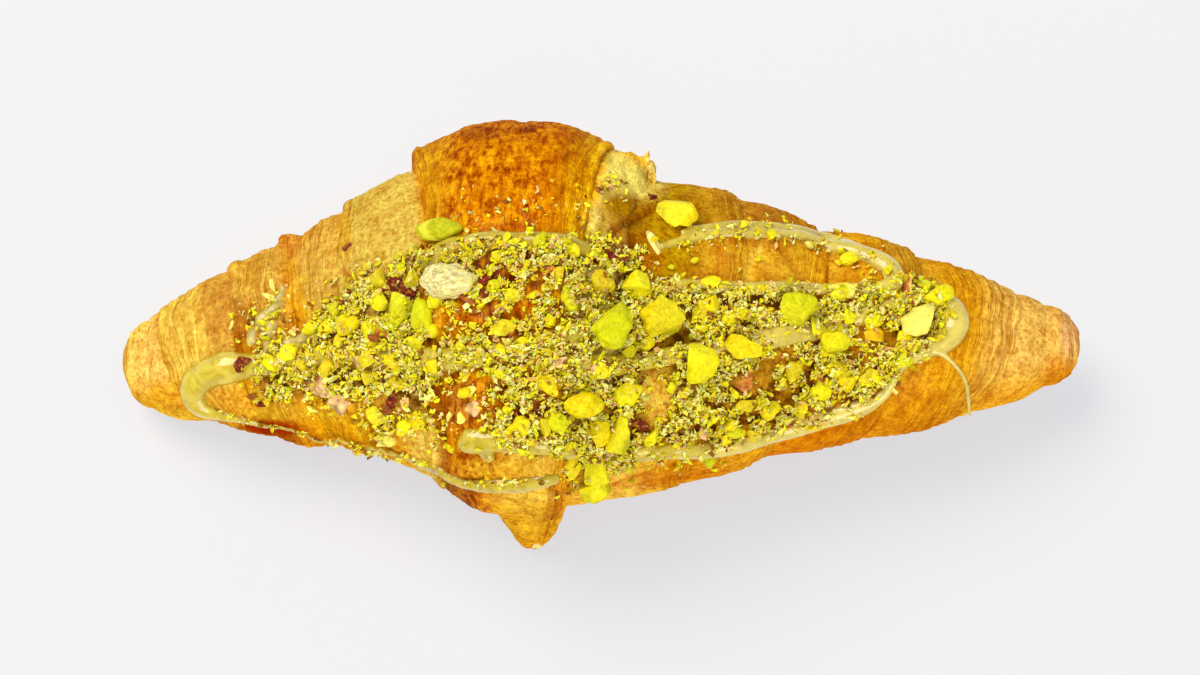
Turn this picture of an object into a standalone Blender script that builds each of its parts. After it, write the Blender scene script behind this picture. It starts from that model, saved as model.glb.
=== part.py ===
"""A croissant with pistachio cream and chopped pistachios, in metres, +Z up.

X runs along the croissant, the front (where the point of the dough hangs down) is at -Y,
and the origin is under the middle of its box. The dough is a triangle rolled up from its
base, so the croissant is a nest of turns, each longer and thinner than the one above it.
"""

import math
import random

import bmesh
import bpy
from mathutils import Matrix, Vector, noise
from mathutils.bvhtree import BVHTree

MM = 0.001
LEFT, RIGHT = -1, 1

# Driving sizes of the rolled dough, in millimetres. A list runs from the topmost turn outwards.
MIDDLE = -15.0  # X of the topmost turn's middle
MIDDLE_DEPTH = 39.0  # half depth there
EDGES = {LEFT: (37, 52, 62, 74, 89, 95.6), RIGHT: (3, 29, 45, 64, 84, 95.2)}  # |X| of each edge at the top
SLANTS = {LEFT: (4, 6, 7, 8, 9, 0), RIGHT: (11, 10, 9, 9, 8, 0)}  # how much nearer it lies at the front
LEANS = {LEFT: 1.0, RIGHT: 2.5}  # how much nearer an edge lies at mid height than at the top
SHOULDERS = {LEFT: (33.4, 25.6, 20.6, 17.4, 10.9, 8.6), RIGHT: (35.8, 28.4, 22.1, 18.3, 12.4, 8.2)}
STEPS = {LEFT: (5.0, 2.2, 1.6, 1.6, 1.2), RIGHT: (7.8, 1.4, 1.6, 1.6, 1.2)}  # drop to the next turn
SHIFTS = {LEFT: (2.7, 0.6, -0.5, -1.9, -4.4, -4.1), RIGHT: (0.3, -1.1, -0.7, -2.4, -2.5, -1.8)}  # Y of axis
LIFTS = {LEFT: 5.0, RIGHT: 11.0}  # how far the tips rise from the tray
LIPS = {LEFT: (2.6, 2.0, 1.6, 1.6, 1.4, 5.5), RIGHT: (1.4, 2.0, 1.8, 1.6, 1.4, 6.0)}  # rounding of edges
FRONT_STEP = 0.3  # share of a step that is left at the front
TAPER = 0.34  # half depth gained for each millimetre that an edge lies nearer the middle
BULGE = 0.9  # how far a turn swells between its two edges
UP, DOWN = 0.78, 0.70  # height above and below the axis, as shares of the half depth
SQUARENESS = 2.25  # 2 is an ellipse, more is a fuller section
SINK = 3.0  # how far the middle has settled into its flat foot
TORN = 9.0  # width of the torn crumb down the right side of the topmost turn
TORN_FROM = math.radians(20)  # how far up the front the torn crumb begins
TORN_SOON = 1.6  # how soon it reaches its full width from there
FRONT_LEAN = math.radians(20)  # how far below level the edges come nearest the middle
EDGE_EASE = 1.6  # how the edges of the lower turns bend towards the front
FIRST_EASE = 0.4  # the same for the topmost turn, whose edges run nearly straight
LUMP, LUMP_SIZE = 0.7, 14.0  # unevenness of the dough
CRUMB, CRUMB_SIZE = 1.6, 4.5  # unevenness of the torn crumb
WAVER, WAVES = 1.0, 1.3  # unevenness of the turns' edges, and how quickly it changes round them
COVERED = 0.96  # half depth of a turn's covered end, as a share of its root
INSIDE = 0.5  # half depth of the ring that closes a covered end, as a share of its rim
BURIED = 1.0  # how deep the torn crumb's foot lies in the next turn
HALFWAY = 0.75  # share of the middle's size halfway to the first edge
SEGMENTS = 32  # faces round a turn

SKIN_SHARES = (0.2, 0.6, 1.0)
LIP_SHARES = (0.5, 1.0)
TIP_SHARES = (0.22, 0.42, 0.6, 0.76, 0.9)
TORN_STEPS = ((0.45, 0.12), (0.85, 0.42), (1.0, 1.0))  # (share of its width, share of its drop)
LAST = 5  # the innermost turn, which ends in the two tips

# The point of the dough triangle, which hangs down in front: (share, X, Y, Z, half width) in millimetres.
POINT_LINE = (
    (0.0, -17.4, -29.0, 27.0, 9.6),
    (0.35, -15.6, -35.2, 19.5, 7.2),
    (0.7, -13.6, -37.8, 9.0, 4.6),
    (1.0, -13.2, -39.4, 1.6, 2.6),
)
POINT_THICK = 2.6  # half thickness of the point
POINT_FULLNESS = 2.2  # how soon the point reaches its full section from either end
POINT_RINGS, POINT_SEGMENTS = 9, 14

# The piped cream: (X, Y, width) along each stroke, in millimetres, seen from above.
STROKES = (
    (
        (-34, 4.6, 5.4), (-25, 5.0, 6.0), (-12, 5.4, 6.0), (0, 7.0, 5.4), (10, 8.6, 5.0),
        (19, 10.0, 5.0), (27, 13.4, 5.4), (36, 15.4, 5.6), (45, 15.0, 5.8), (53, 12.4, 6.0),
        (57, 8.4, 6.4), (54, 3.4, 6.0), (46, 2.0, 5.2), (34, 1.4, 5.0), (20, -0.5, 4.6),
        (8, -4.5, 4.6), (-8, -11.5, 4.8), (-24, -15.2, 5.4), (-36, -13.8, 5.4), (-50, -10.8, 5.0),
        (-62, -9.6, 5.2), (-72, -9.8, 6.0), (-79.5, -10.2, 6.2), (-82.3, -12.8, 6.0),
        (-78, -14.6, 5.2), (-69, -17.4, 4.0), (-59, -19.8, 3.0), (-50, -21.8, 2.8), (-42, -24.6, 3.0),
        (-35, -28.2, 3.6), (-28, -32.6, 5.0), (-20, -36.4, 6.0), (-12, -37.4, 6.0), (-7, -34.8, 4.4),
    ),
    (
        (-14, -17.4, 4.4), (2, -16.2, 4.6), (14, -13.2, 4.8), (24, -9.6, 5.0), (36, -8.0, 5.2),
        (46, -6.0, 5.0), (55, -2.0, 5.0), (63, 1.6, 5.2), (69, 0.4, 6.2), (71.4, -4.0, 6.4),
        (67.6, -8.2, 5.4), (61, -11.0, 4.2), (57, -15.4, 4.4), (52.5, -19.2, 5.0), (45, -21.6, 5.4),
        (38, -23.4, 5.4), (29, -26.0, 5.2), (18, -28.0, 5.0), (4, -30.2, 5.6), (-8, -31.4, 6.0),
        (-19, -30.2, 6.4), (-28.6, -28.9, 6.2), (-26.4, -32.4, 4.6), (-22, -34.6, 3.0),
    ),
)
STROKE_SPACING = 4.8  # distance between points along a stroke
STROKE_SINK = 0.6  # how deep the middle of a stroke lies in the crust
WELD = 0.05  # slivers under this are welded once the dough is joined

# The largest pistachio pieces: (X, Y, length, width, thickness, heading in degrees), in millimetres.
KERNELS = (
    (-30.2, 9.6, 9.9, 4.6, 3.2, -8),
    (-28.0, -1.6, 11.4, 7.0, 4.4, -12),
    (14.0, 15.8, 9.6, 6.6, 4.4, -35),
    (0.6, -10.4, 9.8, 8.4, 5.0, 60),
    (7.2, -0.4, 7.8, 4.8, 3.6, 25),
    (11.6, -7.4, 9.2, 8.0, 4.4, 30),
    (18.4, -14.4, 8.8, 6.8, 4.8, 70),
    (27.4, -12.2, 9.0, 7.0, 4.2, 20),
    (36.9, -2.8, 8.4, 6.8, 5.0, 5),
    (45.2, -8.6, 7.6, 5.0, 3.6, 75),
    (61.8, -3.4, 8.2, 5.8, 4.0, 32),
    (-38.6, -4.0, 6.4, 5.4, 4.0, 60),
    (-3.8, -24.0, 8.0, 5.4, 4.0, -10),
    (2.6, -28.6, 10.0, 5.0, 4.0, 82),
    (-1.0, -34.6, 7.4, 6.0, 4.0, 40),
)
KERNEL_GREENS = ((0.62, 0.68, 0.03), (0.72, 0.66, 0.05), (0.52, 0.62, 0.03))
KERNEL_UPRIGHT = 0.5  # how far a kernel keeps level instead of leaning with the dough
REST_GAP = 0.3  # clearance between a kernel and what it lies on
LIFT_FROM = 0.3  # share of its thickness at which a kernel is first tried
LIFT_STEP = 0.1
KERNEL_ROUGH, MORSEL_ROUGH = 0.28, 0.5  # unevenness of whole and chopped nuts
NUT_PINCH, NUT_TAPER = 0.25, 2.2  # how much narrower a nut's ends are, and how late that begins
NUT_BUMPS = 3.4  # how many bumps lie across a nut

# Chopped pistachio over the top: (X, front Y, back Y) of the strewn area.
STREWN = (
    (-69, -16, -8), (-59, -19, -3), (-49, -23, 2), (-39, -27, 5), (-19, -34, 6),
    (0, -33, 9), (12, -30, 16), (35, -25, 14), (55, -18, 11), (69, -7, 3),
)
MORSELS = 80  # pieces that are large enough to be part of the solid
MORSEL_SIZES = (4.8, 2.3)  # from the largest to the smallest
MORSEL_SHAPE = (1.15, 0.9, 0.75)  # length, width and thickness, as shares of its size
MORSEL_HEIGHT = 0.18  # how far its middle stands above what it lies on, as a share of its size
MORSEL_SPACING = 0.5  # least distance between two pieces
TRIES = 60  # draws for each piece
SEED = 11
CENTRING = 0.9  # moved along Y at the end, so that the origin is under the middle of the box


def smooth_step(value):
    value = min(max(value, 0.0), 1.0)
    return value * value * (3 - 2 * value)


def between(stops, x):
    """Reading at x between (x, value) stops in rising order."""
    if x <= stops[0][0]:
        return stops[0][1]
    for (x0, v0), (x1, v1) in zip(stops, stops[1:]):
        if x <= x1:
            return v0 + (v1 - v0) * (x - x0) / (x1 - x0)
    return stops[-1][1]


def stops_along(middle_value, values):
    """(X, value) stops along the roll from values that belong to the turns' edges."""
    stops = [(MIDDLE, middle_value)]
    for side in (LEFT, RIGHT):
        halfway = (MIDDLE + side * EDGES[side][0]) / 2
        stops.append((halfway, HALFWAY * middle_value + (1 - HALFWAY) * values[side][0]))
        stops += [(side * edge, value) for edge, value in zip(EDGES[side], values[side])]
    return sorted(stops)


DEPTHS = stops_along(MIDDLE_DEPTH, SHOULDERS)
BENDS = stops_along(0.0, SHIFTS)


def axis_at(x):
    """(y, z) of the roll's axis, which bends and lifts towards the tips."""
    side = LEFT if x < MIDDLE else RIGHT
    share = abs(x - MIDDLE) / abs(side * EDGES[side][-1] - MIDDLE)
    lift = LIFTS[side] * smooth_step((share - 0.25) / 0.75) ** 0.7
    return between(BENDS, x), DOWN * between(DEPTHS, x) - SINK + lift


def frontness(turn):
    """1 low at the front, 0 high at the back, for an angle round the roll."""
    return 0.5 + 0.5 * math.cos(turn + FRONT_LEAN)


def edge_at(level, side, turn):
    """X of a turn's edge at this angle round the roll."""
    if level == LAST:
        return side * EDGES[side][level]
    waver = WAVER * noise.noise(WAVES * Vector((math.cos(turn), math.sin(turn), 3.0 * level + side)))
    slant = SLANTS[side][level] * frontness(turn) ** (EDGE_EASE if level else FIRST_EASE)
    lean = LEANS[side] * (1 - math.sin(turn)) if level else 0.0
    return side * (EDGES[side][level] - slant - lean + waver)


def shoulder_at(level, side, turn):
    """Half depth of a turn at its own edge."""
    return SHOULDERS[side][level] + TAPER * SLANTS[side][level] * frontness(turn)


def root_at(level, side, turn):
    """Half depth of a turn where it comes out from under the one above."""
    if level == 0:
        return MIDDLE_DEPTH
    share = FRONT_STEP + (1 - FRONT_STEP) * (1 - frontness(turn))
    return shoulder_at(level - 1, side, turn) - STEPS[side][level - 1] * share


def place(x, reach, turn, crumb=0.0):
    """Point on a section of half depth reach; the angle is 0 in front and a quarter turn on top."""
    y, z = axis_at(x)
    c, s = math.cos(turn), math.sin(turn)
    power = 2 / SQUARENESS
    height = reach * (UP if s > 0 else DOWN)
    y -= reach * math.copysign(abs(c) ** power, c)
    z += height * math.copysign(abs(s) ** power, s)
    point = Vector((x, y, z))
    uneven = LUMP * noise.noise_vector(point / LUMP_SIZE) + crumb * noise.noise_vector(point / CRUMB_SIZE)
    return (point + uneven) * MM


def profile(level):
    """One side of a turn, from its root out to its pole, as (stage, share) steps."""
    core = [("core", 1.0)] if level else []
    skin = [("skin", share) for share in SKIN_SHARES]
    if level == LAST:
        return core + skin + [("tip", share) for share in TIP_SHARES]
    lip = [("lip", share) for share in LIP_SHARES]
    torn = [("torn", step) for step in range(len(TORN_STEPS))] if level == 0 else []
    return core + skin + lip + torn + [("wall", INSIDE)]


def roll_point(level, side, stage, share, turn):
    """Where a turn's surface lies at one step of its profile and one angle."""
    lip, edge = LIPS[side][level], edge_at(level, side, turn)
    root, shoulder = root_at(level, side, turn), shoulder_at(level, side, turn)
    start = edge_at(level - 1, side, turn) - side * LIPS[side][level - 1] / 2 if level else MIDDLE
    stop = edge - side * lip
    slope = TORN * smooth_step(TORN_SOON * math.sin(turn - TORN_FROM)) if side == RIGHT else 0.0
    foot = root_at(1, side, turn) - BURIED
    rim = shoulder - lip
    if stage == "core":
        return place(start, root * COVERED, turn)
    if stage == "skin":
        fall = share if level else share * share
        reach = root + (shoulder - root) * fall + BULGE * math.sin(math.pi * share)
        return place(start + (stop - start) * share, reach, turn)
    bend = share * math.pi / 2
    if stage == "tip":
        return place(stop + side * lip * math.sin(bend), shoulder * math.cos(bend), turn)
    if stage == "lip":
        return place(stop + side * lip * math.sin(bend), shoulder - lip * (1 - math.cos(bend)), turn)
    if stage == "torn":
        across, down = TORN_STEPS[share]
        return place(edge + side * slope * across, rim + (foot - rim) * down, turn, CRUMB * slope / TORN)
    if level == 0:
        return place(edge + side * slope, foot * share, turn)
    return place(edge, rim * share, turn)


def add_turn(level, collection):
    """One turn of the roll: a sphere with its poles on the axis, drawn out to the turn's profile."""
    steps = [(LEFT, *step) for step in reversed(profile(level))]
    steps += [] if level else [(LEFT, "skin", 0.0)]
    steps += [(RIGHT, *step) for step in profile(level)]
    bm = bmesh.new()
    bmesh.ops.create_uvsphere(bm, u_segments=SEGMENTS, v_segments=len(steps) + 1, radius=1)
    for vert in bm.verts:
        latitude = math.asin(max(-1.0, min(1.0, vert.co.z)))
        row = round((latitude / math.pi + 0.5) * (len(steps) + 1)) - 1
        turn = math.atan2(vert.co.y, vert.co.x)
        if 0 <= row < len(steps):
            vert.co = roll_point(level, *steps[row], turn)
        else:
            side = LEFT if row < 0 else RIGHT
            edge = EDGES[side][level] - SLANTS[side][level] / 2
            vert.co = place(side * edge, 0.0, 0.0)
    bmesh.ops.recalc_face_normals(bm, faces=bm.faces)
    return mesh_object(f"turn_{level}", bm, collection)


def add_point_of_dough(collection):
    """The point of the triangle: a flat tongue down the front of the topmost turn."""
    bm = bmesh.new()
    bmesh.ops.create_uvsphere(bm, u_segments=POINT_SEGMENTS, v_segments=POINT_RINGS + 1, radius=1)
    stops = [[(row[0], row[column]) for row in POINT_LINE] for column in (1, 2, 3, 4)]
    for vert in bm.verts:
        share = 0.5 + 0.5 * vert.co.z
        x, y, z, half_width = (between(stop, share) for stop in stops)
        round_end = min(1.0, POINT_FULLNESS * math.hypot(vert.co.x, vert.co.y))
        ring = math.atan2(vert.co.y, vert.co.x)
        x += half_width * round_end * math.cos(ring)
        y -= POINT_THICK * round_end * math.sin(ring)
        point = Vector((x, y, z))
        vert.co = (point + LUMP * noise.noise_vector(point / LUMP_SIZE)) * MM
    bmesh.ops.recalc_face_normals(bm, faces=bm.faces)
    return mesh_object("point_of_dough", bm, collection)


def mesh_object(name, bm, collection):
    mesh = bpy.data.meshes.new(name)
    bm.to_mesh(mesh)
    bm.free()
    obj = bpy.data.objects.new(name, mesh)
    collection.objects.link(obj)
    return obj


def combine(base, others, operation, solver="EXACT"):
    """Joins a collection's objects to base, or cuts them from it, and removes them."""
    tool = base.modifiers.new("combine", "BOOLEAN")
    tool.operation = operation
    tool.operand_type = "COLLECTION"
    tool.collection = others
    tool.solver = solver
    bpy.context.view_layer.update()
    solid = bpy.data.meshes.new_from_object(base.evaluated_get(bpy.context.evaluated_depsgraph_get()))
    base.modifiers.clear()
    base.data = solid
    for obj in list(others.objects):
        bpy.data.objects.remove(obj)


def tidy(obj, weld=0.0):
    """Welds the slivers that joining leaves, keeps the largest body and drops loose scraps."""
    bm = bmesh.new()
    bm.from_mesh(obj.data)
    bmesh.ops.triangulate(bm, faces=bm.faces[:])
    if weld:
        bmesh.ops.remove_doubles(bm, verts=bm.verts[:], dist=weld * MM)
        bmesh.ops.dissolve_degenerate(bm, edges=bm.edges[:], dist=weld * MM)
        bmesh.ops.triangulate(bm, faces=bm.faces[:])
    unseen, bodies = set(bm.verts), []
    while unseen:
        body, reach = set(), [unseen.pop()]
        while reach:
            vert = reach.pop()
            body.add(vert)
            for edge in vert.link_edges:
                other = edge.other_vert(vert)
                if other in unseen:
                    unseen.remove(other)
                    reach.append(other)
        bodies.append(body)
    bodies.sort(key=len)
    bmesh.ops.delete(bm, geom=[vert for body in bodies[:-1] for vert in body], context="VERTS")
    bm.to_mesh(obj.data)
    bm.free()


def surface_of(obj):
    bm = bmesh.new()
    bm.from_mesh(obj.data)
    tree = BVHTree.FromBMesh(bm)
    bm.free()
    return tree


def top_of(tree, x, y):
    """Point and outward direction where something dropped at (x, y) lands, in metres."""
    point, normal, _, _ = tree.ray_cast(Vector((x * MM, y * MM, 0.2)), Vector((0, 0, -1)))
    return point, normal


def smooth_route(stops):
    """Points at even spacing along a smooth curve through the stops; each keeps its own width."""
    route = []
    ends = [stops[0], *stops, stops[-1]]
    for a, b, c, d in zip(ends, ends[1:], ends[2:], ends[3:]):
        a, b, c, d = (Vector(stop) for stop in (a, b, c, d))
        steps = max(1, round((c - b).length / STROKE_SPACING))
        for step in range(steps):
            t = step / steps
            bend = (2 * a - 5 * b + 4 * c - d) * t * t + (3 * b - 3 * c + d - a) * t**3
            route.append(b + 0.5 * ((c - a) * t + bend))
    return route + [Vector(stops[-1])]


def add_stroke(stops, tree, collection):
    """A stroke of cream: a round tube that follows the top of the dough, half sunk into it."""
    route = smooth_route(stops)
    heights = [top_of(tree, x, y)[0].z for x, y, _ in route]
    curve = bpy.data.curves.new("stroke", "CURVE")
    curve.dimensions = "3D"
    curve.bevel_depth = MM
    curve.bevel_resolution = 1
    curve.use_fill_caps = True
    spline = curve.splines.new("POLY")
    spline.points.add(len(route) - 1)
    for number, (x, y, width) in enumerate(route):
        near = heights[max(0, number - 1) : number + 2]
        height = sum(near) / len(near) - STROKE_SINK * MM
        spline.points[number].co = (x * MM, y * MM, height, 1.0)
        spline.points[number].radius = width / 2
    tube = bpy.data.objects.new("stroke", curve)
    collection.objects.link(tube)
    bpy.context.view_layer.update()
    mesh = bpy.data.meshes.new_from_object(tube.evaluated_get(bpy.context.evaluated_depsgraph_get()))
    bpy.data.objects.remove(tube)
    bm = bmesh.new()
    bm.from_mesh(mesh)
    bmesh.ops.remove_doubles(bm, verts=bm.verts[:], dist=0.01 * MM)
    bmesh.ops.recalc_face_normals(bm, faces=bm.faces[:])
    return mesh_object("stroke", bm, collection)


def add_nut(name, size, frame, collection, detail, draw, rough):
    """An uneven, slightly pointed lump of nut, length by width by thickness, in its own frame."""
    bm = bmesh.new()
    bmesh.ops.create_icosphere(bm, subdivisions=detail, radius=0.5)
    offset = Vector((draw.uniform(-9, 9), draw.uniform(-9, 9), draw.uniform(-9, 9)))
    for vert in bm.verts:
        grow = 1 + rough * noise.noise(vert.co * NUT_BUMPS + offset)
        pinch = 1 - NUT_PINCH * abs(2 * vert.co.x) ** NUT_TAPER
        local = Vector((vert.co.x * size[0], vert.co.y * size[1] * pinch, vert.co.z * size[2]))
        vert.co = frame @ (local * grow * MM)
    bmesh.ops.recalc_face_normals(bm, faces=bm.faces)
    return mesh_object(name, bm, collection)


def lying_frame(point, normal, heading):
    """Frame at a point whose Z is the surface's outward direction and whose X points along heading."""
    along = Vector((math.cos(heading), math.sin(heading), 0.0))
    side = normal.cross(along).normalized()
    along = side.cross(normal)
    turned = Matrix((along, side, normal)).transposed()
    return Matrix.Translation(point) @ turned.to_4x4()


def strewn_spots(draw):
    """(X, Y, size) of the chopped pieces, largest first, each clear of the others and of the kernels."""
    taken = [(x, y, length / 2) for x, y, length, _, _, _ in KERNELS]
    lowest, highest = min(row[1] for row in STREWN), max(row[2] for row in STREWN)
    spots, tries = [], 0
    while len(spots) < MORSELS and tries < TRIES * MORSELS:
        tries += 1
        size = MORSEL_SIZES[0] + (MORSEL_SIZES[1] - MORSEL_SIZES[0]) * len(spots) / MORSELS
        x = draw.uniform(STREWN[0][0], STREWN[-1][0])
        front = between([(row[0], row[1]) for row in STREWN], x)
        back = between([(row[0], row[2]) for row in STREWN], x)
        y = draw.uniform(lowest, highest)
        if not front < y < back:
            continue
        if all(math.hypot(x - u, y - v) > size / 2 + reach + MORSEL_SPACING for u, v, reach in taken):
            taken.append((x, y, size / 2))
            spots.append((x, y, size))
    return spots


def strew(croissant, collection, draw):
    """Chopped pistachio, each piece sunk a little into what it lies on."""
    tree = surface_of(croissant)
    for x, y, size in strewn_spots(draw):
        point, normal = top_of(tree, x, y)
        height = size * MORSEL_HEIGHT * MM
        frame = lying_frame(point + normal * height, normal, draw.uniform(0, math.pi))
        shape = tuple(size * share for share in MORSEL_SHAPE)
        add_nut("morsel", shape, frame, collection, 1, draw, MORSEL_ROUGH)


def rest_kernel(number, row, dough, placed, collection, draw):
    """A large piece of pistachio, lifted off the dough just far enough to clear all that lies there."""
    x, y, length, width, thick, heading = row
    point, normal = top_of(dough, x, y)
    normal = (normal + Vector((0, 0, KERNEL_UPRIGHT))).normalized()
    lift = LIFT_FROM * thick
    while True:
        frame = lying_frame(point + normal * lift * MM, normal, math.radians(heading))
        state = draw.getstate()
        shape = (length, width, thick)
        kernel = add_nut(f"pistachio_{number}", shape, frame, collection, 2, draw, KERNEL_ROUGH)
        if all(clear_of(kernel, other) for other in placed):
            return kernel
        draw.setstate(state)
        bpy.data.objects.remove(kernel)
        lift += LIFT_STEP


def clear_of(kernel, tree):
    """True where the kernel keeps its gap to a surface and doesn't cross it."""
    own = surface_of(kernel)
    if own.overlap(tree):
        return False
    return all(tree.find_nearest(vert.co)[3] > REST_GAP * MM for vert in kernel.data.vertices)


def paint(obj, colour, roughness):
    finish = bpy.data.materials.new(obj.name)
    finish.use_nodes = True
    shader = finish.node_tree.nodes["Principled BSDF"]
    shader.inputs["Base Color"].default_value = (*colour, 1.0)
    shader.inputs["Roughness"].default_value = roughness
    obj.data.materials.clear()
    obj.data.materials.append(finish)
    obj.data.shade_smooth()
    obj.data.set_sharp_from_angle(angle=math.radians(40))


def clear_scene():
    for obj in list(bpy.data.objects):
        bpy.data.objects.remove(obj)


def new_collection(name):
    collection = bpy.data.collections.new(name)
    bpy.context.scene.collection.children.link(collection)
    return collection


def add_tray_cutter(collection):
    """Everything below Z = 0, where the dough has settled flat on the tray."""
    bm = bmesh.new()
    bmesh.ops.create_cube(bm, size=1.0)
    bmesh.ops.scale(bm, vec=(0.3, 0.2, 0.02), verts=bm.verts)
    bmesh.ops.translate(bm, vec=(0.0, 0.0, -0.01), verts=bm.verts)
    cutter = mesh_object("tray", bm, collection)
    cutter.hide_render = True
    cutter.display_type = "WIRE"


def main():
    clear_scene()
    noise.seed_set(SEED)  # noise_vector follows the clock unless it is seeded
    draw = random.Random(SEED)
    parts = new_collection("pistachio_croissant")
    pieces = new_collection("pieces")
    croissant = add_turn(0, parts)
    for level in range(1, LAST + 1):
        add_turn(level, pieces)
    add_point_of_dough(pieces)
    combine(croissant, pieces, "UNION")
    add_tray_cutter(pieces)
    combine(croissant, pieces, "DIFFERENCE")
    tidy(croissant, weld=WELD)
    dough = surface_of(croissant)
    for stops in STROKES:
        add_stroke(stops, dough, pieces)
    combine(croissant, pieces, "UNION")
    strew(croissant, pieces, draw)
    combine(croissant, pieces, "UNION")
    tidy(croissant)
    croissant.name = "croissant"
    paint(croissant, (0.55, 0.3, 0.06), 0.5)
    placed = [surface_of(croissant)]
    for number, row in enumerate(KERNELS, 1):
        kernel = rest_kernel(number, row, dough, placed, parts, draw)
        placed.append(surface_of(kernel))
        paint(kernel, KERNEL_GREENS[number % len(KERNEL_GREENS)], 0.55)
    for obj in parts.objects:
        obj.data.transform(Matrix.Translation((0, CENTRING * MM, 0)))


main()
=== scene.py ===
import functools
import math
import random
import time

import bmesh
import bpy
import numpy as np
from mathutils import Matrix, Vector, noise
from mathutils.bvhtree import BVHTree


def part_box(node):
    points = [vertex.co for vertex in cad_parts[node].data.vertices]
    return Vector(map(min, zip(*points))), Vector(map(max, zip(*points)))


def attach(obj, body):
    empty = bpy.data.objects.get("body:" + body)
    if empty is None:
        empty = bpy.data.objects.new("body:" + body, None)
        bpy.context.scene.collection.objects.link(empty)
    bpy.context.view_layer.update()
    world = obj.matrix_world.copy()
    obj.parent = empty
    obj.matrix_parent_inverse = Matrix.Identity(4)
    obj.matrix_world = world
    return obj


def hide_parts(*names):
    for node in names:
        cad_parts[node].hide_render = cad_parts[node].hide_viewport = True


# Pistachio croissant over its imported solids. Lengths are in millimetres until a mesh is written.

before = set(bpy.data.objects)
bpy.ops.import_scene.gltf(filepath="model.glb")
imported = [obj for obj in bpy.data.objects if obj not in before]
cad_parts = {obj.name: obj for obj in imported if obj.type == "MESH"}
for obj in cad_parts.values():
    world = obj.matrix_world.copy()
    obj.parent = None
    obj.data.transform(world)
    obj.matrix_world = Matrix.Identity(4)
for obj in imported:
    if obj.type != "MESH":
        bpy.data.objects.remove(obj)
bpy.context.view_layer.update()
mm = 0.001
left, right = -1, 1
started = time.time()
noise.seed_set(11)  # as in the solids; unseeded, noise_vector follows the clock


def say(words):
    print(f"croissant {time.time() - started:5.1f} s: {words}")


def smoothStep(value):
    value = min(max(value, 0.0), 1.0)
    return value * value * (3 - 2 * value)


def eased(values):  # smoothStep for arrays
    values = np.clip(values, 0, 1)
    return values * values * (3 - 2 * values)


def between(stops, x):
    if x <= stops[0][0]:
        return stops[0][1]
    for (x0, v0), (x1, v1) in zip(stops, stops[1:]):
        if x <= x1:
            return v0 + (v1 - v0) * (x - x0) / (x1 - x0)
    return stops[-1][1]


def linear(colour):  # from the 0 to 255 numbers of a colour picker
    return tuple((c / 255 / 12.92) if c <= 10 else ((c / 255 + 0.055) / 1.055) ** 2.4 for c in colour)


# Camera, also used to place toppings under a point of the 1200 x 675 picture

cameraSet = {
    "tilt": math.radians(72.0),
    "distance": 650.0,
    "lookAt": (-0.1, -2.04, 22.0),
    "pixelsPerMm": 5.04,
    "picture": (1200, 675),
    "sensor": 36.0,
}
viewLine = Vector((0, math.cos(cameraSet["tilt"]), -math.sin(cameraSet["tilt"])))
viewUp = Vector((0, math.sin(cameraSet["tilt"]), math.cos(cameraSet["tilt"])))
eyePoint = Vector(cameraSet["lookAt"]) - viewLine * cameraSet["distance"]


def rayThrough(px, py):
    reach = cameraSet["pixelsPerMm"] * cameraSet["distance"]
    across, down = px - cameraSet["picture"][0] / 2, py - cameraSet["picture"][1] / 2
    return (viewLine + Vector((across / reach, 0, 0)) - viewUp * (down / reach)).normalized()


def underPixel(tree, px, py):  # what lies under a point of the picture: place and outward direction
    point, normal, _, _ = tree.ray_cast(eyePoint, rayThrough(px, py))
    return point, normal


def pictureOf(points):  # where points in millimetres are seen in the picture
    away = np.asarray(points, float) - np.array(eyePoint)
    reach = cameraSet["pixelsPerMm"] * cameraSet["distance"] / (away @ np.array(viewLine))
    middleX, middleY = (size / 2 for size in cameraSet["picture"])
    return middleX + reach * away[:, 0], middleY - reach * (away @ np.array(viewUp))


# Where crumbs and chopped nut lie: shares inside outlines of the picture, less in bare patches

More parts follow.
